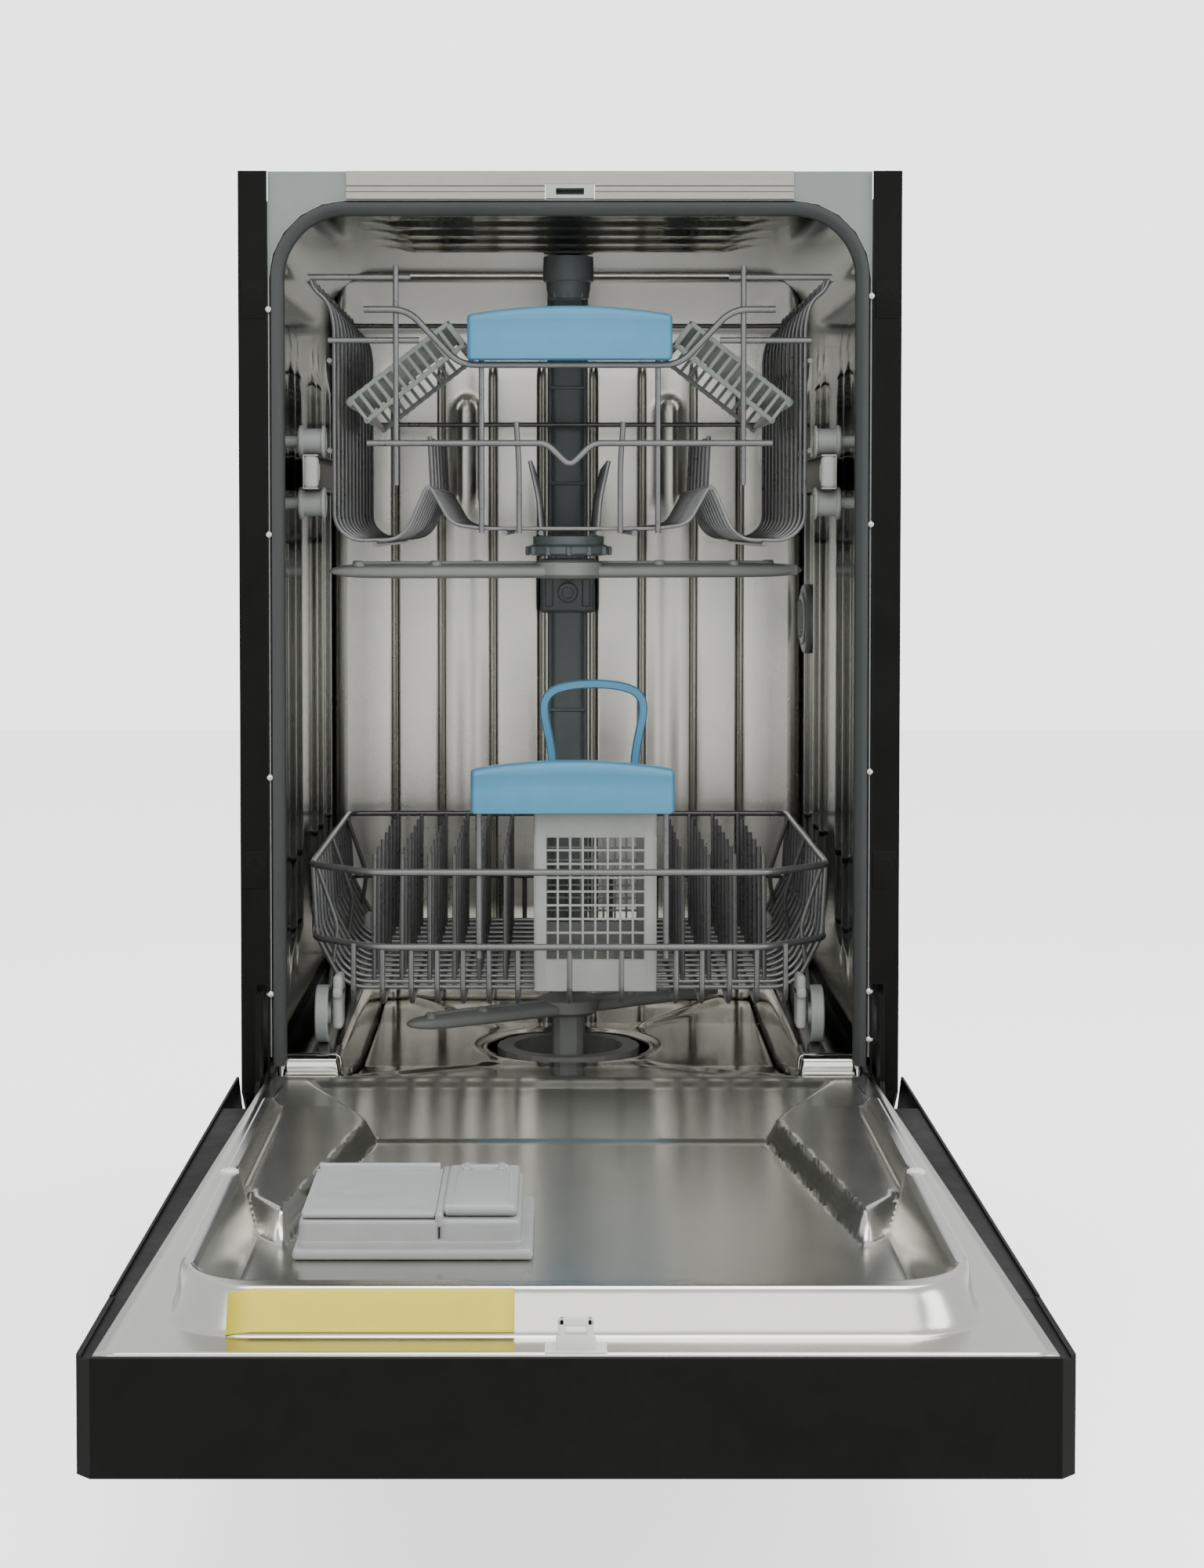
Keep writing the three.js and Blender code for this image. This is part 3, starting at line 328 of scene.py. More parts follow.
def grain_group():
    """Fine parallel brush marks: noise squeezed along two axes by the stretch, as a height from 0 to 1."""
    group, tree, given, out = new_group(
        "brushed grain", [("Stretch", "NodeSocketVector", (1.0, 1.0, 1.0)),
                          ("Scale", "NodeSocketFloat", 600.0)],
        [("Height", "NodeSocketFloat")])
    where = tree.add("ShaderNodeTexCoord").outputs["Object"]
    pressed = tree.add("ShaderNodeVectorMath", {"operation": "MULTIPLY"})
    tree.join(where, pressed.inputs[0])
    tree.join(given["Stretch"], pressed.inputs[1])
    noise = tree.add("ShaderNodeTexNoise", Vector=pressed.outputs[0], Scale=given["Scale"], Detail=4.0,
                     Roughness=0.65)
    tree.join(noise.outputs["Fac"], out["Height"])
    return group


def mould_group():
    """The skin of a moulding: tiny dimples over slow unevenness, as a height from 0 to 1."""
    group, tree, given, out = new_group(
        "moulded skin", [("Scale", "NodeSocketFloat", 900.0)], [("Height", "NodeSocketFloat")])
    where = tree.add("ShaderNodeTexCoord").outputs["Object"]
    dimples = tree.add("ShaderNodeTexNoise", Vector=where, Scale=given["Scale"], Detail=2.0, Roughness=0.5)
    slow = tree.add("ShaderNodeTexNoise", Vector=where, Scale=14.0, Detail=2.0)
    tree.join(tree.math("MULTIPLY_ADD", dimples.outputs["Fac"], 0.4, slow.outputs["Fac"]), out["Height"])
    return group


def dust_group():
    """Dust that lies on faces that look up, broken by noise: a mask from 0 to 1."""
    group, tree, given, out = new_group(
        "dust", [("Amount", "NodeSocketFloat", 0.3)], [("Mask", "NodeSocketFloat")])
    geometry = tree.add("ShaderNodeNewGeometry")
    up = tree.add("ShaderNodeSeparateXYZ", Vector=geometry.outputs["Normal"]).outputs["Z"]
    where = tree.add("ShaderNodeTexCoord").outputs["Object"]
    noise = tree.add("ShaderNodeTexNoise", Vector=where, Scale=35.0, Detail=6.0, Roughness=0.7)
    level = tree.math("MULTIPLY", tree.math("MAXIMUM", up, 0.0), noise.outputs["Fac"])
    tree.join(tree.math("MULTIPLY", level, given["Amount"]), out["Mask"])
    return group


def edge_wear_and_glint_group():
    """Edges lightened by wear and by a painted highlight: where a rounded normal parts from the true one,
    broken by noise, a mask from 0 to 1.
    """
    group, tree, given, out = new_group(
        "edge wear and glint", [("Radius", "NodeSocketFloat", 0.001)], [("Mask", "NodeSocketFloat")])
    rounded = tree.add("ShaderNodeBevel", {"samples": 4}, Radius=given["Radius"])
    geometry = tree.add("ShaderNodeNewGeometry")
    facing = tree.add("ShaderNodeVectorMath", {"operation": "DOT_PRODUCT"})
    tree.join(rounded.outputs["Normal"], facing.inputs[0])
    tree.join(geometry.outputs["Normal"], facing.inputs[1])
    apart = tree.math("SUBTRACT", 1.0, facing.outputs["Value"])
    where = tree.add("ShaderNodeTexCoord").outputs["Object"]
    noise = tree.add("ShaderNodeTexNoise", Vector=where, Scale=90.0, Detail=4.0)
    edge = tree.add("ShaderNodeMapRange", Value=tree.math("MULTIPLY", apart, noise.outputs["Fac"]),
                    From_Min=0.01, From_Max=0.12)
    tree.join(edge.outputs["Result"], out["Mask"])
    return group


SMUDGES, GRAIN, MOULD, DUST, EDGE_WEAR_AND_GLINT = smudge_group(), grain_group(), mould_group(), dust_group(), edge_wear_and_glint_group()


# ------------------------------------------------------------------ finishes
# In metres, the unit that the shader nodes work in.
EDGE_WEAR_AND_GLINT_RADIUS = 0.0012
RELIEF = 0.0006
DUST_COLOUR = (0.55, 0.54, 0.50, 1.0)


def finish(name, colour, other, roughness, metallic=0.0, spread=0.1, smudge=8.0, bump_height=None,
           bump_strength=0.1, dust=0.0, edge=None, **sockets):
    """A finish whose colour drifts to other in smudges, with a bump, dust, and edges lightened by wear and a
    painted highlight, where given.

    smudge is the smears' scale and spread is how much rougher they are.
    """
    material = bpy.data.materials.new(name + "_finish")
    material.use_nodes = True
    tree = Tree(material.node_tree)
    shader = material.node_tree.nodes["Principled BSDF"]
    smears = tree.add("ShaderNodeGroup", {"node_tree": SMUDGES}, Scale=smudge).outputs["Mask"]
    tint = tree.mix(smears, (*colour, 1.0), (*other, 1.0))
    if edge is not None:
        # Lighter edges: partly wear, partly a painted highlight along the edges.
        edge_wear_and_glint = tree.add("ShaderNodeGroup", {"node_tree": EDGE_WEAR_AND_GLINT}, Radius=EDGE_WEAR_AND_GLINT_RADIUS).outputs["Mask"]
        tint = tree.mix(edge_wear_and_glint, tint, (*edge, 1.0))
    if dust:
        powder = tree.add("ShaderNodeGroup", {"node_tree": DUST}, Amount=dust).outputs["Mask"]
        tint = tree.mix(powder, tint, DUST_COLOUR)
    tree.join(tint, shader.inputs["Base Color"])
    rough = tree.math("MULTIPLY_ADD", smears, spread, roughness)
    tree.join(rough, shader.inputs["Roughness"])
    shader.inputs["Metallic"].default_value = metallic
    for key, value in sockets.items():
        shader.inputs[key.replace("_", " ")].default_value = value
    if bump_height is not None:
        lift = bump_height(tree)
        relief = tree.add("ShaderNodeBump", Height=lift, Strength=bump_strength, Distance=RELIEF)
        tree.join(relief.outputs["Normal"], shader.inputs["Normal"])
    return material


def grain(stretch, scale=500.0):
    """Brush marks whose run is the axis with the small stretch."""
    return lambda tree: tree.add(
        "ShaderNodeGroup", {"node_tree": GRAIN}, Stretch=stretch, Scale=scale).outputs["Height"]


def skin(scale=900.0):
    """Moulded skin."""
    return lambda tree: tree.add("ShaderNodeGroup", {"node_tree": MOULD}, Scale=scale).outputs["Height"]


def ripple(scale=9.0):
    """The slow waves of pressed thin sheet."""
    def height(tree):
        where = tree.add("ShaderNodeTexCoord").outputs["Object"]
        return tree.add("ShaderNodeTexNoise", Vector=where, Scale=scale, Detail=2.0,
                        Roughness=0.45).outputs["Fac"]
    return height


stainless = finish(
    "stainless", (0.46, 0.46, 0.42), (0.52, 0.515, 0.47), roughness=0.09, metallic=1.0, spread=0.05,
    smudge=4.0, bump_height=ripple(7.0), bump_strength=0.22)
# A darker copy of the tub's stainless for its walls and roof: painted shade, standing for the dark
# surroundings that they reflect.
shaded_wall_steel = finish(
    "shaded_wall_steel", (0.25, 0.255, 0.24), (0.33, 0.335, 0.31), roughness=0.10, metallic=1.0, spread=0.05,
    smudge=4.0, bump_height=ripple(7.0), bump_strength=0.28)
# A lighter copy of the tub's stainless for its back wall: painted light, where the lamps fall straight on it.
lit_back_steel = finish(
    "lit_back_steel", (0.66, 0.65, 0.60), (0.72, 0.705, 0.645), roughness=0.24, metallic=1.0, spread=0.05,
    smudge=3.0, bump_height=grain((1.0, 1.0, 0.03), 300.0), bump_strength=0.03)
# A lighter copy of the stainless for the door's liner: painted light, brightening the pan that lies open
# under the lamps.
lit_liner_steel = finish(
    "lit_liner_steel", (0.55, 0.545, 0.50), (0.61, 0.60, 0.55), roughness=0.20, metallic=1.0, spread=0.05,
    smudge=3.0, bump_height=grain((0.03, 1.0, 1.0), 260.0), bump_strength=0.04)
satin_steel = finish(
    "satin_steel", (0.27, 0.262, 0.235), (0.32, 0.31, 0.28), roughness=0.30, metallic=1.0, spread=0.08,
    smudge=9.0, bump_height=grain((0.02, 1.0, 1.0), 500.0), bump_strength=0.12)
zinc = finish(
    "zinc", (0.50, 0.50, 0.50), (0.62, 0.61, 0.57), roughness=0.34, metallic=1.0, spread=0.2,
    smudge=30.0, bump_height=skin(300.0))
frame_grey = finish(
    "frame_grey", (0.165, 0.188, 0.180), (0.195, 0.218, 0.210), roughness=0.36, metallic=0.25,
    smudge=7.0, bump_height=skin(500.0), bump_strength=0.05, edge=(0.45, 0.47, 0.45))
black_steel = finish(
    "black_steel", (0.0035, 0.0035, 0.003), (0.006, 0.006, 0.0055), roughness=0.42, spread=0.14,
    smudge=6.0, bump_height=skin(1400.0), bump_strength=0.12, dust=0.008, edge=(0.014, 0.014, 0.013),
    Specular_IOR_Level=0.08)
black_plastic = finish(
    "black_plastic", (0.0035, 0.0035, 0.003), (0.006, 0.006, 0.0055), roughness=0.45, spread=0.12,
    bump_height=skin(1200.0), bump_strength=0.12, edge=(0.014, 0.014, 0.013), Specular_IOR_Level=0.08)
base_plastic = finish(
    "base_plastic", (0.020, 0.020, 0.022), (0.030, 0.030, 0.031), roughness=0.55, spread=0.15,
    smudge=10.0, bump_height=skin(700.0), bump_strength=0.3, dust=0.2)
grey_plastic = finish(
    "grey_plastic", (0.33, 0.345, 0.325), (0.38, 0.395, 0.37), roughness=0.36, spread=0.14, smudge=9.0,
    bump_height=skin(), bump_strength=0.2, edge=(0.40, 0.41, 0.39))
dark_grey = finish(
    "dark_grey", (0.130, 0.156, 0.156), (0.165, 0.19, 0.19), roughness=0.34, spread=0.14, smudge=9.0,
    bump_height=skin(), bump_strength=0.2)
dispenser_grey = finish(
    "dispenser_grey", (0.27, 0.28, 0.275), (0.31, 0.32, 0.315), roughness=0.34, spread=0.12, smudge=12.0,
    bump_height=skin(), bump_strength=0.15, edge=(0.42, 0.42, 0.41))
pale_plastic = finish(
    "pale_plastic", (0.31, 0.315, 0.295), (0.36, 0.365, 0.34), roughness=0.38, spread=0.12, smudge=12.0,
    bump_height=skin(), bump_strength=0.2, Subsurface_Weight=0.05)
clear_plastic = finish(
    "clear_plastic", (0.29, 0.325, 0.295), (0.36, 0.395, 0.36), roughness=0.26, spread=0.12, smudge=14.0,
    bump_height=skin(500.0), bump_strength=0.15, Transmission_Weight=0.4, IOR=1.46)
roller_grey = finish(
    "roller_grey", (0.20, 0.215, 0.205), (0.25, 0.265, 0.25), roughness=0.34, spread=0.12, smudge=14.0,
    bump_height=skin(), bump_strength=0.2, edge=(0.36, 0.37, 0.35))
blue_plastic = finish(
    "blue_plastic", (0.062, 0.235, 0.385), (0.078, 0.262, 0.415), roughness=0.30, smudge=9.0,
    bump_height=skin(1000.0), bump_strength=0.12, Coat_Weight=0.15, Coat_Roughness=0.2,
    Specular_IOR_Level=0.35)
rack_wire = finish(
    "rack_wire", (0.125, 0.13, 0.13), (0.17, 0.17, 0.165), roughness=0.26, metallic=0.5, spread=0.12,
    smudge=25.0, bump_height=skin(500.0), Coat_Weight=0.3, Coat_Roughness=0.15)
seal_rubber = finish(
    "seal_rubber", (0.018, 0.021, 0.021), (0.028, 0.031, 0.030), roughness=0.46, spread=0.15,
    smudge=12.0, bump_height=skin(700.0), bump_strength=0.3)
felt = finish(
    "felt", (0.028, 0.027, 0.025), (0.045, 0.043, 0.040), roughness=0.9, spread=0.05, smudge=30.0,
    bump_height=skin(1500.0), bump_strength=0.9)
white_plastic = finish(
    "white_plastic", (0.58, 0.58, 0.54), (0.64, 0.635, 0.59), roughness=0.35, smudge=20.0,
    bump_height=skin())
label_yellow = finish(
    "label_yellow", (0.60, 0.51, 0.025), (0.66, 0.56, 0.045), roughness=0.42, smudge=15.0,
    bump_height=skin(), bump_strength=0.05)

BY_SLOT = {made.name.removesuffix("_finish"): made for made in (
    stainless, satin_steel, zinc, frame_grey, black_steel, black_plastic, base_plastic, grey_plastic,
    dispenser_grey, pale_plastic, clear_plastic, blue_plastic, rack_wire, seal_rubber, felt)}
SLOT_OF = {row["node"]: row["material_slot"] for row in frame["record"]["subparts"]}


def dress_model_nodes():
    """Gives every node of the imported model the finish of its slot."""
    for node, made in frame["nodes"].items():
        for material_slot in made.material_slots:
            material_slot.material = BY_SLOT[SLOT_OF[node]]


dress_model_nodes()


# ------------------------------------------------------------------ tub
TUB_HALF, TUB_TOP, TUB_FRONT, TUB_BACK, TUB_CORNER = 198.0, 787.0, 13.3, 470.0, 34.0
WALL_MIDDLE = 199.5
PAN_HALF, LEDGE = 156.0, 213.5
SUMP_Y, SUMP_HOLE = 298.0, 64.0
WALL_RIBS, ROOF_RIBS = (92, 142, 268, 318, 400), (60, 118, 176, 234)
BACK_GROOVES = (-146.0, -106.5, -63.0, -22.0, 22.0, 63.0, 106.5, 146.0)
BACK_SHAPES = (-85.0, 85.0)
WALL = 1.2


def arch(half_width, top, radius, bottom, straight=40, turn=12):
    """An upside-down U in (x, z), from the left foot to the right one, with quarter circles for corners."""
    side = np.linspace(bottom, top - radius, straight)
    quarter = np.linspace(math.pi, math.pi / 2, turn + 2)[1:-1]
    across = np.linspace(-half_width + radius, half_width - radius, straight)
    left = np.stack([np.full(straight, -half_width), side], axis=1)
    corner = np.stack([-half_width + radius * (1 + np.cos(quarter)), top - radius * (1 - np.sin(quarter))],
                      axis=1)
    roof = np.stack([across, np.full(straight, top)], axis=1)
    mirror = np.array([-1.0, 1.0])
    return np.concatenate([left, corner, roof, corner[::-1] * mirror, left[::-1] * mirror])


def inward(outline):
    """Unit normals of an arch's outline that point into its opening."""
    along = np.gradient(outline, axis=0)
    along /= np.linalg.norm(along, axis=1)[:, None]
    return np.stack([along[:, 1], -along[:, 0]], axis=1)


def tub_walls():
    """The arch carried back; pressed ribs stand in by a rounded bump across y, faded out at the corners."""
    outline = arch(TUB_HALF, TUB_TOP, TUB_CORNER, LEDGE + 0.3)
    normal = inward(outline)
    y = np.linspace(TUB_FRONT, TUB_BACK, 110)
    x, z = outline[:, 0], outline[:, 1]
    side = smooth_step((z - 262) / 26) * smooth_step((706 - z) / 26) * (np.abs(x) > TUB_HALF - 1)
    roof = smooth_step((138 - np.abs(x)) / 22) * (z > TUB_TOP - 1)
    ribs = sum(bump(y - middle, 17.0) for middle in WALL_RIBS) * 4.0
    roof_ribs = sum(bump(y - middle, 15.0) for middle in ROOF_RIBS) * 4.5
    lift = ribs[:, None] * side[None] + roof_ribs[:, None] * roof[None]
    grid = np.stack([x[None] + normal[None, :, 0] * lift, np.repeat(y[:, None], len(x), 1),
                     z[None] + normal[None, :, 1] * lift], axis=-1)
    return sheet_grid(grid[:, ::-1])


def pressed_u(x, z, centre, half_width, bottom, top, width=5.0):
    """A raised line that runs up, round a half circle and down again: a bump across the distance from it."""
    rise = np.maximum(z - (top - half_width), 0.0)
    reach = np.hypot(x - centre, rise)
    return bump(reach - half_width, width) * smooth_step((z - bottom) / 12)


def back_wall():
    """A pressed sheet over (x, z): narrow grooves run up it and two upside-down U shapes stand out of it."""
    fine = np.concatenate([middle + np.linspace(-5, 5, 9) for middle in BACK_GROOVES])
    u_fine = np.concatenate([middle + np.linspace(-12, 12, 13) for middle in BACK_SHAPES])
    x = np.unique(np.concatenate([fine, u_fine, np.linspace(-WALL_MIDDLE, WALL_MIDDLE, 30)]))
    z = np.concatenate([np.linspace(165, 560, 24), np.linspace(565, 720, 50), np.linspace(730, 788.5, 8)])
    gx, gz = np.meshgrid(x, z)
    reach = smooth_step((gz - 178) / 12) * smooth_step((716 - gz) / 14)
    groove = sum(bump(gx - middle, 3.6) for middle in BACK_GROOVES) * 2.6 * reach
    shapes = sum(pressed_u(gx, gz, middle, 8.0, 590, 682) for middle in BACK_SHAPES) * 2.2
    swell = 1.2 * np.sin(gx / 21.3 * math.pi) ** 2 * reach
    y = TUB_BACK + 0.5 + groove - shapes - swell * 0.6
    return sheet_grid(np.stack([gx, y, gz], axis=-1))


def floor_level(x, y):
    """The pan's height: a fall from the sill to the sump, with four creases that run to the corners."""
    fall = np.interp(y, [TUB_FRONT, 22, 60, 205, 392, TUB_BACK], [198.5, 197.5, 186, 167.5, 167.5, 173])
    dx, dy = np.abs(x), np.abs(y - SUMP_Y)
    crease = bump(dx * 0.80 - dy * 0.60, 9.0) * smooth_step((np.hypot(dx, dy) - 80) / 30) * 3.0
    rim = 2.0 * smooth_step((76 - np.hypot(dx, dy)) / 10)
    return fall + crease - rim


def tub_pan():
    """Rays from the sump's hole out to a rectangle, with the ledges as one more strip along each side."""
    turn = np.linspace(0, 2 * math.pi, 241)
    ring = np.stack([SUMP_HOLE * np.cos(turn), SUMP_Y + SUMP_HOLE * np.sin(turn)], axis=1)
    low, high = np.array([-PAN_HALF, TUB_FRONT]), np.array([PAN_HALF, TUB_BACK])
    ray = np.stack([np.cos(turn), np.sin(turn)], axis=1)
    centre = np.array([0.0, SUMP_Y])
    with np.errstate(divide="ignore"):
        out = np.where(ray > 0, (high - centre) / ray, (low - centre) / ray)
    edge = centre + ray * np.minimum(np.abs(out[:, :1]), np.abs(out[:, 1:]))
    share = np.linspace(0, 1, 46)[:, None, None] ** 0.9
    plan = ring[None] * (1 - share) + edge[None] * share
    z = floor_level(plan[..., 0], plan[..., 1])
    pan = sheet_grid(np.concatenate([plan, z[..., None]], axis=-1)[:, ::-1])
    y = np.linspace(TUB_FRONT, TUB_BACK, 60)
    strips = []
    for side in (-1, 1):
        x = np.array([PAN_HALF, 156.3, 157.0, 158.0, 160.0, 163.0, WALL_MIDDLE])
        share = np.array([0.0, 0.3, 0.75, 0.93, 1.0, 1.0, 1.0])
        base = floor_level(np.full_like(y, PAN_HALF), y)[:, None]
        level = base * (1 - share) + LEDGE * share
        strip = np.stack([np.repeat(side * x[None], len(y), 0), np.repeat(y[:, None], len(x), 1), level],
                         axis=-1)
        strips.append(sheet_grid(strip if side > 0 else strip[:, ::-1]))
    return merged([pan, *strips])


def sill_apron():
    """The pan's front edge rolled forward and down to behind the door's hinge end."""
    ledge, bend = np.linspace(163, WALL_MIDDLE, 6), np.linspace(PAN_HALF, 160, 5)
    x = np.concatenate([-ledge[::-1], -bend[::-1], np.linspace(-150, 150, 31), bend, ledge])
    share = smooth_step((np.abs(x) - PAN_HALF) / 4)
    level = floor_level(x, np.full_like(x, TUB_FRONT)) * (1 - share) + LEDGE * share
    run = np.linspace(0, 1, 14)
    roll_out, roll_down, foot = 9.0, 8.0, 150
    y = TUB_FRONT - roll_out * np.sin(np.minimum(run * 2, 1) * math.pi / 2)
    drop = roll_down * (1 - np.cos(np.minimum(run * 2, 1) * math.pi / 2))[:, None]
    z = level[None] - drop - np.maximum(run * 2 - 1, 0)[:, None] * (level[None] - drop - foot)
    grid = np.stack([np.repeat(x[None], len(run), 0), np.repeat(y[:, None], len(x), 1), z], axis=-1)
    return sheet_grid(grid[:, ::-1])


def seal():
    """A bulb with a fold on its inner side, carried round the arch of the mouth."""
    outline = arch(203.0, 795.0, 52.0, 207.6, straight=8, turn=16)
    path = np.insert(outline, 1, 0.0, axis=1)
    section = [(0.2, 12.8), (0.2, 3.4), (1.2, 1.9), (3.4, 1.6), (5.6, 2.3), (7.2, 4.0), (8.8, 5.0),
               (9.8, 7.0), (9.6, 9.4), (8.0, 10.6), (6.2, 11.0), (4.8, 12.8)]
    return swept(path, section, (0, 1, 0))


def seal_pins():
    """Small domes down both sides of the seal."""
    left, right = (722, 570, 405, 257), (731, 577, 409, 259, 226)
    dome = [(2.6, 4.2), (2.6, 2.6), (2.2, 1.4), (1.2, 0.8), (0.1, 0.6)]
    return merged([turned(dome, (side * 204.2, 0, z), axis="y", sides=14)
                   for side, heights in ((-1, left), (1, right)) for z in heights])


def strip_marks():
    """On each black strip, two shallow plates with a screw in a dished seat."""
    strip_middle, heights = 214.0, (732.5, 346.0)
    solids = []
    for side in (-1, 1):
        for z in heights:
            x = side * strip_middle
            solids.append(soft_block((x - 8.2, 0.35, z - 17), (x + 8.2, 2.0, z + 9), 0.8))
            head = [(4.6, 1.2), (4.6, 0.45), (3.9, 0.2), (3.2, 0.3), (1.4, 0.62), (0.1, 0.62)]
            solids.append(turned(head, (x, 0, z), axis="y", sides=20))
    return merged(solids)


piece("tub_liner", tub_walls(), shaded_wall_steel, "cabinet", ["tub_shell"], thickness=WALL)
piece("tub_back_panel", back_wall(), lit_back_steel, "cabinet", ["tub_back_wall"],
      thickness=WALL)
piece("tub_pan", tub_pan(), stainless, "cabinet", ["tub_floor"], thickness=WALL)
piece("sill_apron", sill_apron(), stainless, "cabinet", thickness=1.0)
piece("mouth_seal", seal(), seal_rubber, "cabinet", ["door_gasket"])
piece("seal_pins", seal_pins(), zinc, "cabinet")
piece("strip_plates", strip_marks(), black_steel, "cabinet")


# ------------------------------------------------------------------ water column and vent
def water_column():
    """A ribbed duct up the back with a collar, a dock ring and a round button."""
    solids = [soft_block((-13.5, 451, 182), (13.5, 469.6, 771), 4.0),
              soft_block((-17, 458, 181), (17, 469.6, 772), 2.0),
              soft_block((-23, 448, 503), (23, 469.6, 537), 3.5),
              soft_block((-19, 446, 508), (-12, 452, 532), 1.5),
              soft_block((12, 446, 508), (19, 452, 532), 1.5),
              turned([(8.6, 450), (8.6, 446.2), (7.6, 445), (5.0, 445.3), (4.4, 446.0), (0.1, 446.0)],
                     (0, 0, 520), axis="y", sides=28),
              turned([(15, 454), (15, 443), (13.6, 442.2), (11, 442.4), (10.4, 446), (0.1, 446)],
                     (0, 0, 545), axis="y", sides=32)]
    solids += [soft_block((-15, 449.5, z), (15, 455, z + 3), 1.0) for z in (240, 330, 420, 610, 690, 740)]
    return merged(solids)


def roof_nozzle():
    """A duct along the ceiling to a cup with stepped rings."""
    profile = [(19.5, 785.5), (20, 768), (19.3, 766.6), (17.4, 765.8), (17, 760), (15, 753.2), (11, 752.8),
               (9, 756), (0.1, 756)]
    spokes = [soft_block((-1.2 + 15 * math.cos(a), 300 - 1.2 + 15 * math.sin(a), 753.5),
                         (1.2 + 15 * math.cos(a), 300 + 1.2 + 15 * math.sin(a), 768), 0.6)
              for a in np.linspace(0, 2 * math.pi, 9)[:-1]]
    return merged([soft_block((-12, 300, 774.7), (12, 469.5, 786.7), 4.0), turned(profile, (0, 300, 0)),
                   *spokes])


def vent_cover():
    """A shallow oval dome with three stepped rings and a slotted middle, on the right wall."""
    profile = [(28.5, 197.7), (28.5, 194.5), (27.4, 192.8), (24, 191.8), (23.2, 192.8), (21.4, 192.8),
               (20.6, 191.2), (16, 190.4), (15.2, 191.6), (13.4, 191.6), (12.6, 190.3), (0.1, 190.0)]
    cover = turned(profile, (0, 396, 500), axis="x", sides=72, stretch=(45 / 28.5, 1.0))
    ribs = [soft_block((189.6, 396 + s - 1, 486), (191.4, 396 + s + 1, 514), 0.5)
            for s in np.linspace(-14, 14, 7)]
    return merged([cover, *ribs])


piece("water_column", water_column(), dark_grey, "cabinet", ["feed_column"])
piece("roof_nozzle", roof_nozzle(), dark_grey, "cabinet", ["top_sprayer"])
piece("vent_cover", vent_cover(), clear_plastic, "cabinet", ["vent_cap"])


# ------------------------------------------------------------------ rails, rollers and wheels
RAIL_FRONT, RAIL_BACK, RAIL_LOW, RAIL_TOP = 28, 428, 601, 625
RAIL_INNER, RAIL_OUTER = 172.5, 183.5
ROLLER_Y, ROLLER_HEIGHTS = 50, {"upper": 634.3, "lower": 591.7}
WHEEL_HEIGHT, WHEEL_ROWS = 233.8, {"front": 60.0, "rear": 366.0}


def roller(side, z):
    """A roller whose tread lies on the rail between two flanges, on a stepped axle from the tub's wall."""
    profile = [(4.0, 197.6), (4.0, 188.6), (6.5, 188.2), (10.6, 187.6), (11.4, 186.6), (11.4, 185.0),
               (9.0, 184.2), (9.0, 172.0), (11.2, 171.2), (11.2, 170.0), (10.2, 169.2), (7.6, 169.0),
               (6.8, 170.2), (4.6, 170.2), (4.0, 169.2), (0.1, 169.2)]
    return turned([(r, side * x) for r, x in profile], (0, ROLLER_Y, z), axis="x", sides=36)


def wheel(side, y):
    """A rimmed wheel: tread, dished web with five small bosses, hub and axle."""
    profile = [(3.6, 159.2), (3.8, 166.5), (7.4, 167.2), (8.0, 169.6), (15.4, 170.6), (16.2, 168.8),
               (19.2, 168.5), (20.0, 169.4), (20.0, 176.6), (19.2, 177.5), (16.4, 177.5), (15.6, 175.4),
               (8.6, 174.6), (8.0, 177.2), (5.0, 177.5), (4.4, 176.2), (0.1, 176.2)]
    solids = [turned([(r, side * x) for r, x in profile], (0, y, WHEEL_HEIGHT), axis="x", sides=48)]
    boss, faces = turned([(2.6, -1.2), (2.6, 0.7), (1.9, 1.3), (0.1, 1.3)], (0, 0, 0), axis="x", sides=12)
    for a in np.linspace(0, 2 * math.pi, 6)[:-1]:
        middle = (side * 174.9, y + 12 * math.cos(a), WHEEL_HEIGHT + 12 * math.sin(a))
        solids.append((boss * np.array([side, 1, 1]) + np.array(middle), faces))
    return merged(solids)


def channel(side):
    """A bent channel that is open towards the tub's middle."""
    web, flange = 1.3, 1.4
    x0, x1 = sorted((side * (RAIL_OUTER - web), side * RAIL_OUTER))
    a0, a1 = sorted((side * RAIL_INNER, side * RAIL_OUTER))
    return merged([soft_block((x0, RAIL_FRONT, RAIL_LOW), (x1, RAIL_BACK, RAIL_TOP), 0.6),
                   soft_block((a0, RAIL_FRONT, RAIL_TOP - flange), (a1, RAIL_BACK, RAIL_TOP), 0.6),
                   soft_block((a0, RAIL_FRONT, RAIL_LOW), (a1, RAIL_BACK, RAIL_LOW + flange), 0.6)])


def channel_stop(side):
    """A rounded block that closes the channel's front end."""
    a0, a1 = sorted((side * 172.8, side * 183.2))
    return merged([soft_block((a0, 27, 601.6), (a1, 39, 624.4), 3.5),
                   soft_block((a0, 39, 606), (a1, 47, 620), 2.5)])


for name, side in (("left", -1), ("right", 1)):
    piece(f"rail_channel_{name}", channel(side), satin_steel, f"rail_{name}", [f"rack_rail_{name}"])
    piece(f"rail_stop_{name}", channel_stop(side), pale_plastic, f"rail_{name}")
    for level_name, z in ROLLER_HEIGHTS.items():
        piece(f"roller_{level_name}_{name}_turning", roller(side, z), roller_grey,
              f"roller_{level_name}_{name}", [f"rail_roller_{level_name}_{name}"])
    for row, y in WHEEL_ROWS.items():
        piece(f"wheel_{row}_{name}_turning", wheel(side, y), roller_grey, f"wheel_{row}_{name}",
              [f"lower_wheel_{row}_{name}"])


# ------------------------------------------------------------------ upper rack
UPPER_FRONT, UPPER_BACK = 43.4, 438
GRIP_WIRE_Y = 41.4
ARM_Y = 240
SHELF_HINGE, SHELF_TILT = (-154, 68, 662), 38.0
SHELF_REACH, SHELF_DEEP, SHELF_LONG = 90.0, -19.0, 190


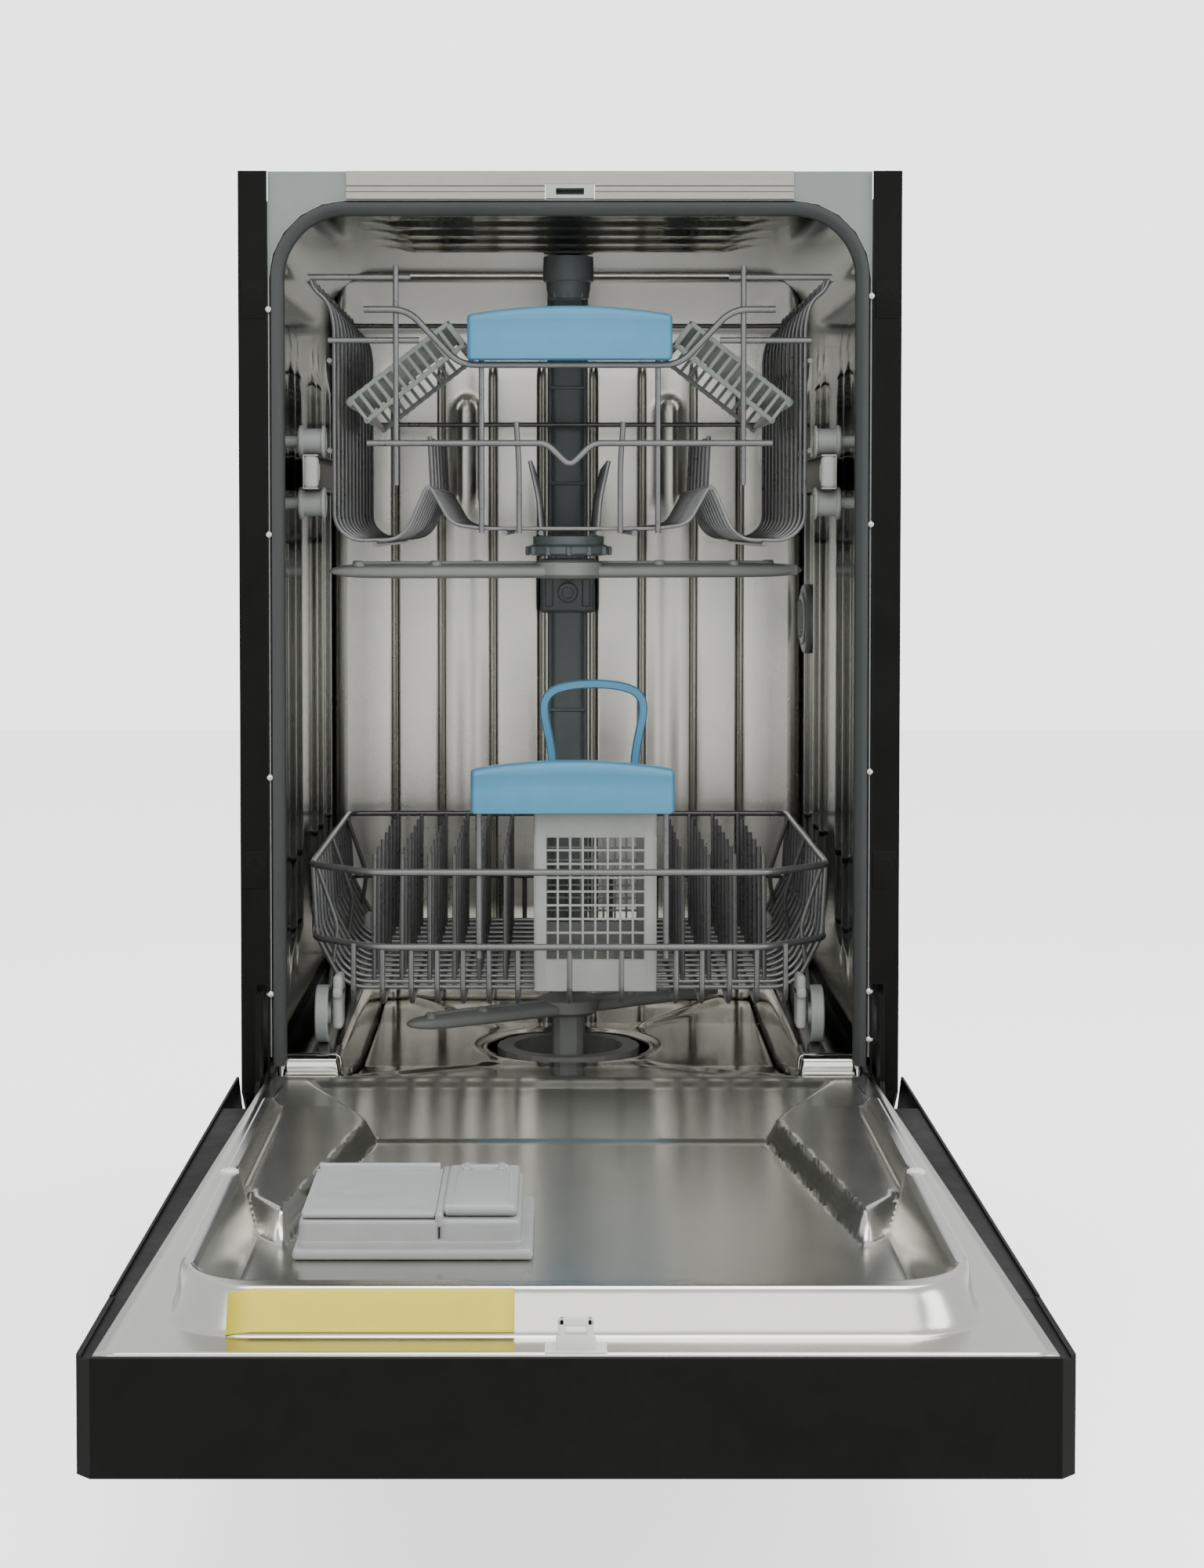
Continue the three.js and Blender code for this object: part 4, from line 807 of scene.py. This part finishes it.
def upper_wires():
    """Cross wires bent into two troughs, long wires under them, a double front and upright prongs."""
    right = [(60, 574), (82, 577), (98, 606), (112, 573), (122, 566), (151, 566), (163, 577), (163, 716),
             (167, 731), (177, 739), (180, 748)]
    profile = [(-x, z) for x, z in right[::-1]] + right
    solids = [wire([(x, y, z) for x, z in profile], 1.35, bend=8, sides=8)
              for y in np.linspace(46, UPPER_BACK, 12)]
    for side in (-1, 1):
        for x, z, radius in ((181.2, 746.5, 2.2), (166.0, 690, 1.8), (166.0, 628, 1.8), (135, 563.2, 1.9),
                             (98, 602.6, 1.8), (45, 571.0, 1.9), (20, 571.0, 1.8)):
            solids.append(wire([(side * x, 43, z), (side * x, 441, z)], radius, sides=8))
        solids.append(wire([(side * 120, UPPER_FRONT, 604), (side * 120, UPPER_FRONT, 755)], 2.0))
        solids.append(wire([(side * 61, UPPER_FRONT, 571), (side * 61, UPPER_FRONT, 690)], 2.0))
        solids.append(wire([(side * 35, UPPER_FRONT, 571), (side * 35, UPPER_FRONT, 618),
                            (side * 37, UPPER_FRONT, 648)], 1.9, bend=12))
        solids.append(wire([(side * 110, 45.5, 747.5), (side * 181, 45.5, 747.5)], 2.2))
        solids.append(wire([(side * 104, 45.5, 704), (side * 167, 45.5, 704)], 2.2))
        for y in np.linspace(90, 400, 9):
            solids.append(wire([(side * 20, y, 571), (side * 22, y + 3, 596), (side * 28, y + 8, 622)], 1.7,
                               sides=8))
        for y in np.linspace(110, 380, 6):
            solids.append(wire([(side * 98, y, 604), (side * 100, y + 5, 640)], 1.7, sides=8))
    hung = [(-142, 725), (-112, 725), (-76, 687), (76, 687), (112, 725), (142, 725)]
    solids.append(wire([(x, GRIP_WIRE_Y, z) for x, z in hung], 2.3, bend=11, steps=8))
    dipped = [(-140, 633), (-16, 633), (0, 617), (16, 633), (140, 633)]
    solids.append(wire([(x, GRIP_WIRE_Y, z) for x, z in dipped], 2.2, bend=6, steps=6))
    solids.append(wire([(-180, UPPER_BACK, 742), (-150, 440, 742), (150, 440, 742), (180, UPPER_BACK, 742)],
                       2.0))
    solids.append(wire([(-165, UPPER_BACK, 660), (165, UPPER_BACK, 660)], 1.9))
    return merged(solids)


def grip(centre_x, front, bottom, width=141.0):
    """A grip moulding: a C section carried across x, taller in the middle and solid at its round ends."""
    u = np.concatenate([[-1, -0.995, -0.985, -0.965], np.linspace(-0.95, 0.95, 49),
                        [0.965, 0.985, 0.995, 1]])
    end = np.sqrt(np.maximum(1 - np.clip((np.abs(u) - 0.955) / 0.046, 0, 1) ** 2, 0.02))
    height = 30.5 + 6.2 * (1 - u ** 2)
    middle = height / 2
    line = height - 5.5 - 5.0 * (1 - u ** 2)
    hollow = np.where(np.abs(u) < 0.94, 3.4, 15.6)
    outer = [(15.7, 0 * u), (3.0, 0 * u), (1.0, 0.7 + 0 * u), (0.2, 3 + 0 * u), (0.0, middle),
             (0.0, line - 0.6), (-1.5, line + 1.2), (-1.7, height - 3), (-0.8, height - 0.9),
             (1.5, height), (15.7, height)]
    inner = [(1, height - 2.6), (0, height - 2.6), (0, middle), (0, 2.6 + 0 * u), (1, 2.6 + 0 * u)]
    ring = [(y + 0 * u, z) for y, z in outer]
    ring += [(np.where(flag, 15.65, hollow), z) for flag, z in inner]
    y = np.stack([a for a, _ in ring], axis=1)
    z = np.stack([b for _, b in ring], axis=1)
    z = middle[:, None] + (z - middle[:, None]) * (0.88 + 0.12 * end[:, None])
    y = 8.0 + (y - 8.0) * end[:, None]
    x = np.repeat((centre_x + u * width / 2)[:, None], y.shape[1], 1)
    return loft(np.stack([x, front + y, bottom + z], axis=-1))


def shelf_block(side, low, high, radius=0.8):
    """A soft block on the raised shelf: first along its reach, then along its length, then out of it."""
    points, faces = soft_block(low, high, radius, steps=2)
    tilt = math.radians(SHELF_TILT)
    x = SHELF_HINGE[0] + points[:, 0] * math.cos(tilt) - points[:, 2] * math.sin(tilt)
    z = SHELF_HINGE[2] + points[:, 0] * math.sin(tilt) + points[:, 2] * math.cos(tilt)
    y = SHELF_HINGE[1] + points[:, 1]
    return np.stack([-side * x, y, z], axis=1), faces


def cup_shelf(side):
    """A deep tray: slats, crossed ribs under them, end walls with uprights, a nose bar and a hinge bar."""
    solids = [shelf_block(side, (0, v, low), (SHELF_REACH, v + 2.6, low + 3.4))
              for v in (0, 187.4) for low in (SHELF_DEEP, -0.4)]
    solids += [shelf_block(side, (SHELF_REACH - 2.4, 0, SHELF_DEEP), (SHELF_REACH, SHELF_LONG, 3)),
               shelf_block(side, (1, 0, SHELF_DEEP), (3.2, SHELF_LONG, 0)),
               shelf_block(side, (-3, 0, -3.5), (4, SHELF_LONG, 3.5), 3.0)]
    solids += [shelf_block(side, (u, 1, -0.6), (u + 3.4, 189, 2.0), 0.5) for u in np.linspace(8, 80, 9)]
    solids += [shelf_block(side, (1, v, -1.2), (89, v + 1.8, 1.2), 0.5) for v in np.linspace(10, 178, 17)]
    solids += [shelf_block(side, (u, v - 0.8, SHELF_DEEP - 0.4), (u + 2.6, v + 1.0, 3.2), 0.5)
               for u in np.linspace(1, 86, 13) for v in (0.9, 188.3)]
    return merged(solids)


def spray_arm(centre, bottom, length, heading, hub_radius, top_hub):
    """A flat oval blade that narrows to round tips, a spine, a hub and nozzles, turned to its heading."""
    half = length / 2
    s = half * np.sin(np.linspace(-math.pi / 2, math.pi / 2, 61)[1:-1])
    end = np.sqrt(np.maximum(1 - (np.abs(s) / half) ** 12, 0.0))
    wide = (11.0 + 5.0 * (1 - np.abs(s) / half)) * end
    a = np.linspace(0, 2 * math.pi, 28, endpoint=False)
    form = np.sign(np.cos(a)) * np.abs(np.cos(a)) ** 0.7, np.sign(np.sin(a)) * np.abs(np.sin(a)) ** 0.6
    y = wide[:, None] * form[0][None]
    flatter_top = np.where(form[1] > 0, 1 - 0.25 * np.abs(form[0]), 1)
    z = 6 + (5.8 * end)[:, None] * form[1][None] * flatter_top[None]
    blade = loft(np.stack([np.repeat(s[:, None], len(a), 1), y, z], axis=-1))
    hub = turned([(0.1, 0), (hub_radius - 4, 0), (hub_radius, 3), (hub_radius, 12), (hub_radius - 2, 13),
                  (hub_radius - 7, top_hub), (0.1, top_hub)], (0, 0, 0), sides=44)
    solids = [blade, hub, soft_block((-half * 0.86, -1.6, 9), (half * 0.86, 1.6, 13.2), 1.2)]
    for i, share in enumerate((-0.44, -0.36, -0.28, -0.19, 0.19, 0.27, 0.35, 0.43)):
        off = 5.0 if i % 2 else -5.0
        solids.append(turned([(4.6, 9.5), (4.4, 12.6), (3.2, 13.9), (1.6, 13.9), (1.3, 12.4), (0.1, 12.4)],
                             (share * length, off, 0), sides=16))
    solids.append(soft_block((half * 0.9, -7, 2), (half * 0.975, 7, 10), 1.5))
    points, faces = merged(solids)
    x = points[:, 0] * math.cos(heading) - points[:, 1] * math.sin(heading) + centre[0]
    y = points[:, 0] * math.sin(heading) + points[:, 1] * math.cos(heading) + centre[1]
    return np.stack([x, y, points[:, 2] + bottom], axis=1), faces


def duct():
    """Hub, pipe to the back and the round mouth that meets the water column."""
    hub = turned([(0.1, 553.2), (25, 553.2), (31, 555), (31, 560), (27, 562), (27, 568), (0.1, 569)],
                 (0, ARM_Y, 0), sides=48)
    ribs = [soft_block((31 * math.cos(a) - 2, ARM_Y + 31 * math.sin(a) - 2, 553.5),
                       (31 * math.cos(a) + 2, ARM_Y + 31 * math.sin(a) + 2, 560.5), 1.2)
            for a in np.linspace(0, 2 * math.pi, 13)[:-1]]
    mouth = turned([(9, 441), (13, 441), (14, 440), (14, 430.5), (12, 430), (0.1, 430)], (0, 0, 546),
                   axis="y", sides=32)
    return merged([hub, soft_block((-11, ARM_Y, 554.5), (11, UPPER_BACK, 569), 4.0), mouth,
                   soft_block((-11, 428, 545), (11, UPPER_BACK, 569), 3.0), *ribs])


piece("upper_rack_wires", upper_wires(), rack_wire, "upper_rack", ["upper_rack_frame"])
piece("upper_rack_grip", grip(0, 26.4, 689.9), blue_plastic, "upper_rack", ["upper_rack_handle"], crease=50)
piece("upper_rack_duct", duct(), dark_grey, "upper_rack", ["upper_arm_duct"])
upper_blade = spray_arm((0, ARM_Y), bottom=536, length=366, heading=0.16, hub_radius=26, top_hub=15)
lower_blade = spray_arm((0, SUMP_Y), bottom=192, length=296, heading=0.6, hub_radius=24, top_hub=15)
piece("upper_arm_blade", upper_blade, grey_plastic, "upper_arm", ["upper_spray_arm"])
piece("lower_arm_blade", lower_blade, grey_plastic, "lower_arm", ["lower_spray_arm"])
for name, side in (("left", -1), ("right", 1)):
    piece(f"cup_shelf_{name}_tray", cup_shelf(side), clear_plastic, f"shelf_{name}", [f"cup_shelf_{name}"])


# ------------------------------------------------------------------ lower rack, basket
def rim_loop(half_width, z, radius=2.4):
    """A loop round the rack with slanted front corners."""
    front, back, corner = 36.0, 434.0, 46.0
    right = [(0.1, front, z), (half_width - corner, front, z), (half_width, front + corner, z),
             (half_width, back, z)]
    left = [(-x, y, z) for x, y, z in right[::-1]]
    return wire(right + left, radius, across=(0, 0, 1), bend=13, steps=6)


def lower_wires():
    """Two loops, cross wires bent up the sides, long wires turned up in front and rows of leaning prongs."""
    solids = [rim_loop(183, 336), rim_loop(181, 284)]
    right = [(0, 247), (152, 247), (165, 255), (180, 284), (183, 337)]
    profile = [(-x, z) for x, z in right[:0:-1]] + right
    for y in np.linspace(92, 430, 15):
        solids.append(wire([(x, y, z) for x, z in profile], 1.8, bend=7, sides=8))
    for x in (-150, -130, -110, -92, -74, -56, -36, 0, 36, 74, 92, 111, 130, 150):
        long_wire = [(x, 37.5, 286), (x, 37.5, 252), (x, 47, 243.6), (x, 436, 243.6), (x, 436, 286)]
        solids.append(wire(long_wire, 1.9, bend=7, sides=8))
    for side in (-1, 1):
        for y in (100, 250, 400):
            stay = [(side * 182, y, 337), (side * 166, y + 1, 290), (side * 172, y + 1, 244)]
            solids.append(wire(stay, 1.7, sides=8))
    for y in (116, 164, 212, 260, 308, 356, 404):
        for x in (-141, -121, -101, -83, -65, -46, 82, 101, 120, 141):
            if y > 245 or x < -40 or x > 70:
                solids.append(wire([(x, y, 244), (x, y + 4, 300), (x, y + 11, 338)], 1.7, bend=14, sides=8))
    for x in (-63, 67):
        solids.append(wire([(x, 38.6, 276), (x, 38.6, 379)], 2.2))
    return merged(solids)


def wheel_brackets():
    """A clip on each wheel's axle: a plate with a boss that grips the rack's side wires."""
    solids = []
    for side in (-1, 1):
        for y in WHEEL_ROWS.values():
            x0, x1 = sorted((side * 158.5, side * 165.5))
            solids.append(soft_block((x0, y - 11, 224), (x1, y + 11, 262), 3.0))
            solids.append(soft_block((x0, y - 15, 246), (x1, y + 15, 254), 2.5))
    return merged(solids)


def lattice(across, up, place_at, thick=2.4):
    """Crossed bars over a rectangle: bars up at each across value and bars across at each up value."""
    solids = []
    a0, a1, u0, u1 = across[0], across[-1], up[0], up[-1]
    for a in across:
        solids.append(place_at(a - 0.8, a + 0.8, u0, u1, thick))
    for u in up:
        solids.append(place_at(a0, a1, u - 0.8, u + 0.8, thick * 0.9))
    return solids


def basket():
    """Four latticed walls between solid bands, posts at the corners and half way, and a floor of bars."""
    x0, x1, y0, y1, z0, z1 = -25.0, 61.0, 54.0, 240.0, 249.9, 374.9
    solids = []

    def facing(y):
        return lambda a, b, c, d, t: soft_block((a, y - t / 2, c), (b, y + t / 2, d), 0.4, steps=1)

    def sideways(x):
        return lambda a, b, c, d, t: soft_block((x - t / 2, a, c), (x + t / 2, b, d), 0.4, steps=1)

    up = np.linspace(z0 + 22, z1 - 16, 10)
    for y in (y0 + 1.3, y1 - 1.3):
        solids += lattice(np.linspace(x0 + 8, x1 - 8, 9), up, facing(y))
        solids.append(soft_block((x0, y - 1.25, z0), (x1, y + 1.25, z0 + 22), 1.0))
        solids.append(soft_block((x0, y - 1.25, z1 - 16), (x1, y + 1.25, z1), 1.0))
        solids += [soft_block((x - 4.5, y - 1.3, z0), (x + 4.5, y + 1.3, z1), 1.1)
                   for x in (x0 + 4.5, x1 - 4.5)]
    for x in (x0 + 1.3, x1 - 1.3):
        solids += lattice(np.linspace(y0 + 8, y1 - 8, 19), up, sideways(x))
        solids.append(soft_block((x - 1.25, y0, z0), (x + 1.25, y1, z0 + 22), 1.0))
        solids.append(soft_block((x - 1.25, y0, z1 - 16), (x + 1.25, y1, z1), 1.0))
        solids += [soft_block((x - 1.3, y - 4.5, z0), (x + 1.3, y + 4.5, z1), 1.1)
                   for y in (y0 + 4.5, 147, y1 - 4.5)]
    solids += [soft_block((x0 + 2, y - 0.9, z0 + 1), (x1 - 2, y + 0.9, z0 + 3.6), 0.5, steps=1)
               for y in np.linspace(y0 + 8, y1 - 8, 20)]
    solids += [soft_block((x - 0.9, y0 + 2, z0 + 1), (x + 0.9, y1 - 2, z0 + 3), 0.5, steps=1)
               for x in np.linspace(x0 + 8, x1 - 8, 9)]
    return merged(solids)


def basket_loop():
    """A flat band carried up, over and down in a bow that pinches in towards its feet."""
    middle_x, middle_y = 18, 147.0
    right = np.array([(34.5, 368), (31.5, 384), (29.5, 398), (31.5, 416), (36.3, 438), (36.0, 449),
                      (30, 456), (18, 459.6), (0.1, 461)])
    left = right[:-1] * np.array([-1, 1])
    outline = np.concatenate([left, right[::-1]])
    path = np.stack([middle_x + outline[:, 0], np.full(len(outline), middle_y), outline[:, 1]], axis=1)
    path = eased(path, 12, 4)
    section = [(2.3, 5.2), (3.1, 3.6), (3.3, 0), (3.1, -3.6), (2.3, -5.2), (-2.3, -5.2), (-3.0, -3.6),
               (-3.1, 0), (-3.0, 3.6), (-2.3, 5.2)]
    return swept(path, section, (0, 1, 0))


piece("lower_rack_wires", lower_wires(), rack_wire, "lower_rack", ["lower_rack_frame"])
piece("lower_rack_grip", grip(2, 28, 377), blue_plastic, "lower_rack", ["lower_rack_handle"], crease=50)
piece("wheel_brackets", wheel_brackets(), grey_plastic, "lower_rack")
piece("basket_lattice", basket(), pale_plastic, "basket", ["cutlery_basket"])
piece("basket_bow", basket_loop(), blue_plastic, "basket_loop", ["basket_handle"], crease=60)


# ------------------------------------------------------------------ door
FLANGE = 206
LINER_TIP, LINER_HINGE_END = -655, -26
LINER_HALF, LINER_FLAT_HALF = 201.0, 196


def rounded_inside(a, y, half_width, end, radius):
    """Distance inside a shape with straight sides at half_width, an end at y = end and round corners."""
    dx, dy = a - (half_width - radius), (end + radius) - y
    return radius - np.hypot(np.maximum(dx, 0), np.maximum(dy, 0)) - np.minimum(np.maximum(dx, dy), 0)


def liner_level(x, y):
    """The liner's height: the flange, then the raised ridge, then the pan sunk inside it.

    A raised lane for the wheels runs along each side of the pan. Its inner edge and its far end slant.
    """
    a = np.abs(x)
    crest = np.interp(y, [-190, -150, -38, -26], [226, 212.3, 206, 206])
    lane = np.interp(y, [-150, -38], [212.3, 206.0])
    pan = np.interp(y, [-191, -187, -50, -36], [198.0, 199.4, 202.8, 205.8])
    near = smooth_step((-560 - y) / 45)
    rise = smooth_step(rounded_inside(a, y, 191.5, -629.5, 42.0) / (3.0 + 13.0 * near))
    outside = FLANGE + (crest - FLANGE) * rise
    laned = np.clip(((y + 431) - (a - 157) * 1.65) / 20, 0, 1)
    edge = np.interp(y, [-431, -190, -36], [151.0, 119.0, 171.0])
    inner = pan + (lane - pan) * laned * np.clip((a - edge) / 7.0, 0, 1)
    wall = np.clip(rounded_inside(a, y, 182.5, -604.0, 36.0) / (2.4 + 13.0 * (1 - laned)), 0, 1)
    dent = bump(np.hypot(a - 22, y + 621), 8.0) * 2.2
    return inner + (outside - inner) * (1 - smooth_step(wall)) + dent


def door_liner():
    """A height over (x, y), dense where it bends, with the flange's edge tapering, and a rolled hinge end."""
    half = spaced([0, 118, LINER_FLAT_HALF, LINER_HALF], [9, 55, 2])
    share = np.concatenate([-half[:0:-1], half]) / LINER_HALF
    y = spaced([LINER_TIP, -631, -572, -446, -384, -192, -144, LINER_HINGE_END],
               [4, 39, 15, 39, 23, 17, 29])
    gy, gs = np.meshgrid(y, share, indexing="ij")
    limit = 203 + 13 * (LINER_HINGE_END - gy) / 632
    inside = np.abs(gs) * LINER_HALF
    flange_share = (inside - LINER_FLAT_HALF) / (LINER_HALF - LINER_FLAT_HALF)
    a = np.where(inside > LINER_FLAT_HALF, LINER_FLAT_HALF + flange_share * (limit - LINER_FLAT_HALF),
                 inside)
    gx = np.sign(gs) * a
    gz = liner_level(gx, gy)
    turn = np.linspace(0, math.pi / 2, 9)[1:]
    roll_y, roll_z = LINER_HINGE_END + 25 * np.sin(turn), 180 + 26 * np.cos(turn)
    roll = np.stack([np.repeat(gx[-1:], len(turn), 0), np.repeat(roll_y[:, None], gx.shape[1], 1),
                     np.repeat(roll_z[:, None], gx.shape[1], 1)], axis=-1)
    return sheet_grid(np.concatenate([np.stack([gx, gy, gz], axis=-1), roll]))


def door_plugs():
    """White caps on the ridge, one to a side."""
    dome = [(5.2, 225.2), (5.0, 226.6), (3.8, 227.4), (0.1, 227.7)]
    return merged([turned(dome, (side * 186.2, -387, 0), sides=20) for side in (-1, 1)])


def tip_label():
    """A thin blank strip laid on the slope of the ridge, following its height."""
    gx, gy = np.meshgrid(np.linspace(-160, -28, 12), np.linspace(-626.5, -615.5, 16))
    grid = np.stack([gx, gy - 0.5, liner_level(gx, gy) + 0.35], axis=-1)
    return sheet_grid(grid)


def round_rectangle(low, high, radius, z, steps=5):
    """A ring at height z: a quarter circle in each corner of a rectangle."""
    quarter = np.linspace(0, math.pi / 2, steps)
    turn = np.concatenate([quarter + k * math.pi / 2 for k in range(4)])
    signs = np.array([[1, 1], [-1, 1], [-1, -1], [1, -1]]).repeat(steps, axis=0)
    low, high = np.asarray(low, dtype=float), np.asarray(high, dtype=float)
    plan = (low + high) / 2 + signs * ((high - low) / 2 - radius)
    plan += radius * np.stack([np.cos(turn), np.sin(turn)], axis=1)
    return np.column_stack([plan, np.full(len(plan), z)])


def cup_block(low, high, cup_low, cup_high, base, top, cup_floor):
    """A block with a cup in its top: rings up its sides, over a round edge and down into the cup."""
    low, high, cup_low, cup_high = (np.asarray(plan, dtype=float)
                                    for plan in (low, high, cup_low, cup_high))
    corner, edge = 4.0, 2.0
    rings = [round_rectangle(low, high, corner, base)]
    for t in np.linspace(0, math.pi / 2, 5):
        inset = edge * (1 - math.cos(t))
        rings.append(round_rectangle(low + inset, high - inset, corner - inset,
                                     top - edge + edge * math.sin(t)))
    for inset, radius, z in ((-0.8, 6.8, top), (0.0, 6.0, top - 0.8), (1.4, 6.0, cup_floor + 3.0),
                             (2.4, 5.4, cup_floor + 0.8), (4.4, 4.0, cup_floor)):
        rings.append(round_rectangle(cup_low + inset, cup_high - inset, radius, z))
    return loft(rings)


def dispenser():
    """A base plate and its skirt, a block with the detergent cup, one with the rinse aid's cap, and a bar."""
    cap = [(0.1, 209), (11.5, 209), (11.5, 213.4), (10.6, 214.4), (0.1, 214.4)]
    return merged([soft_block((-145, -466, 198.2), (-21, -348, 203.8), 2.4, steps=4),
                   cup_block((-142.5, -462.5), (-26.5, -351.5), (-138, -458), (-31, -356), 199, 208, 202.6),
                   cup_block((-142, -462), (-69.7, -352), (-136, -452), (-78, -374), 199.4, 217.9, 204.4),
                   cup_block((-69.3, -462), (-27, -352), (-64, -446), (-33, -370), 199.4, 217.9, 208.6),
                   turned(cap, (-48.5, -408, 0), sides=36),
                   soft_block((-58, -409.6, 213), (-39, -406.4, 217.2), 1.2),
                   soft_block((-71.6, -461, 214), (-67.4, -353, 221.5), 1.6)])


def detergent_cover():
    """A crowned lid whose middle is slightly sunk, a thumb mark and its knuckle."""
    u, v = np.meshgrid(np.linspace(-1, 1, 25), np.linspace(-1, 1, 31))
    sunk = smooth_step((0.86 - np.maximum(abs(u), abs(v))) / 0.07)
    crown = 221.2 + 2.2 * (1 - u ** 8) * (1 - v ** 8) - 0.9 * sunk
    dent = 1.4 * smooth_step(1.2 - np.hypot((u + 0.15) / 0.36, (v + 0.25) / 0.15))
    grid = np.stack([-106 + u * 34.6, -409.6 + v * 49.6, crown - dent], axis=-1)
    knuckle = [(0.1, -139), (3, -139), (3, -73), (0.1, -73)]
    return merged([sheet_grid(grid), soft_block((-140.6, -459.8, 218.4), (-71.4, -359.6, 221.6), 1.5),
                   turned(knuckle, (0, -360, 221.6), axis="x", sides=20)])


def rinse_cover():
    """A smaller crowned lid with a pull tab and its knuckle."""
    knuckle = [(0.1, -66), (3, -66), (3, -31), (0.1, -31)]
    return merged([soft_block((-67.8, -453.6, 218.4), (-29.2, -355.2, 222.6), 1.8, steps=4),
                   soft_block((-63.5, -449, 221), (-33.5, -372, 223.6), 1.4),
                   soft_block((-62, -366, 221), (-35, -359, 224.2), 1.6),
                   *[soft_block((x, -372.4, 222.6), (x + 4, -358, 224.6), 1.0) for x in (-60, -41)],
                   turned(knuckle, (0, -453, 221.4), axis="x", sides=20)])


def strike():
    """The latch's plate and upright hook with a square eye."""
    posts = [soft_block((x, -648.8, 207), (x + 3.4, -645.8, 221), 1.0) for x in (-8, 4.6)]
    return merged([soft_block((-14, -653, FLANGE), (14, -637.5, 206.85), 0.4),
                   soft_block((-9, -648.9, 206.2), (9, -645.6, 213), 0.9), *posts,
                   soft_block((-8, -648.8, 217), (8, -645.8, 221), 1.0)])


piece("door_liner", door_liner(), lit_liner_steel, "door", ["door_inner_liner"], crease=32,
      thickness=WALL)
piece("door_plugs", door_plugs(), white_plastic, "door")
piece("door_strip_label", tip_label(), label_yellow, "door", thickness=0.2)
piece("dispenser_housing", dispenser(), dispenser_grey, "door", ["dispenser_body"])
piece("detergent_cover", detergent_cover(), dispenser_grey, "detergent_flap", ["detergent_lid"])
piece("rinse_cover", rinse_cover(), dispenser_grey, "rinse_flap", ["rinse_aid_lid"])
piece("door_strike", strike(), white_plastic, "door", ["door_latch"])


# ------------------------------------------------------------------ light and floor
AMBIENT, EXTRA_BEHIND = 1.10, 2.0
FLOOR_HALF, FLOOR_GLOW = 6.0, 1.5


def area_light(name, location, size, power, aim):
    """A rectangular lamp that faces a point."""
    data = bpy.data.lights.new(name, "AREA")
    data.shape = "RECTANGLE"
    data.size, data.size_y = size
    data.energy = power
    made = bpy.data.objects.new(name, data)
    made.location = location
    towards = np.array(aim) - np.array(location)
    flat = math.hypot(towards[0], towards[1])
    heading = math.atan2(towards[1], towards[0]) - math.pi / 2
    made.rotation_euler = (math.atan2(flat, -towards[2]), 0.0, heading)
    bpy.context.scene.collection.objects.link(made)


def studio():
    """A pale floor, a pale surrounding and three soft lamps."""
    world = bpy.data.worlds.new("studio")
    world.use_nodes = True
    background = world.node_tree.nodes["Background"]
    background.inputs["Color"].default_value = (0.93, 0.94, 0.95, 1.0)
    seen = Tree(world.node_tree)
    direct = seen.add("ShaderNodeLightPath").outputs["Is Camera Ray"]
    seen.join(seen.math("MULTIPLY_ADD", direct, EXTRA_BEHIND, AMBIENT), background.inputs["Strength"])
    bpy.context.scene.world = world
    area_light("front", (-0.3, -2.9, 2.3), (4.6, 3.0), 80, (0.0, 0.0, 0.4))
    area_light("overhead", (0.2, 0.35, 2.6), (1.6, 1.6), 45, (0.0, -0.1, 0.3))
    area_light("side", (2.2, -1.2, 1.4), (1.2, 1.6), 25, (0.0, 0.0, 0.4))
    ends = (-FLOOR_HALF, FLOOR_HALF)
    points, faces = sheet_grid([[(x, y, 0.0) for x in ends] for y in ends])
    mesh = bpy.data.meshes.new("floor")
    mesh.from_pydata(points.tolist(), [], faces.tolist())
    made = bpy.data.objects.new("floor", mesh)
    bpy.context.scene.collection.objects.link(made)
    paint = finish(
        "floor_paint", (0.92, 0.92, 0.92), (0.94, 0.94, 0.94), roughness=0.7, spread=0.05, smudge=1.0,
        Emission_Color=(1.0, 1.0, 1.0, 1.0))
    glow = Tree(paint.node_tree)
    direct = glow.add("ShaderNodeLightPath").outputs["Is Camera Ray"]
    shader = paint.node_tree.nodes["Principled BSDF"]
    glow.join(glow.math("MULTIPLY", direct, FLOOR_GLOW), shader.inputs["Emission Strength"])
    mesh.materials.append(paint)


studio()
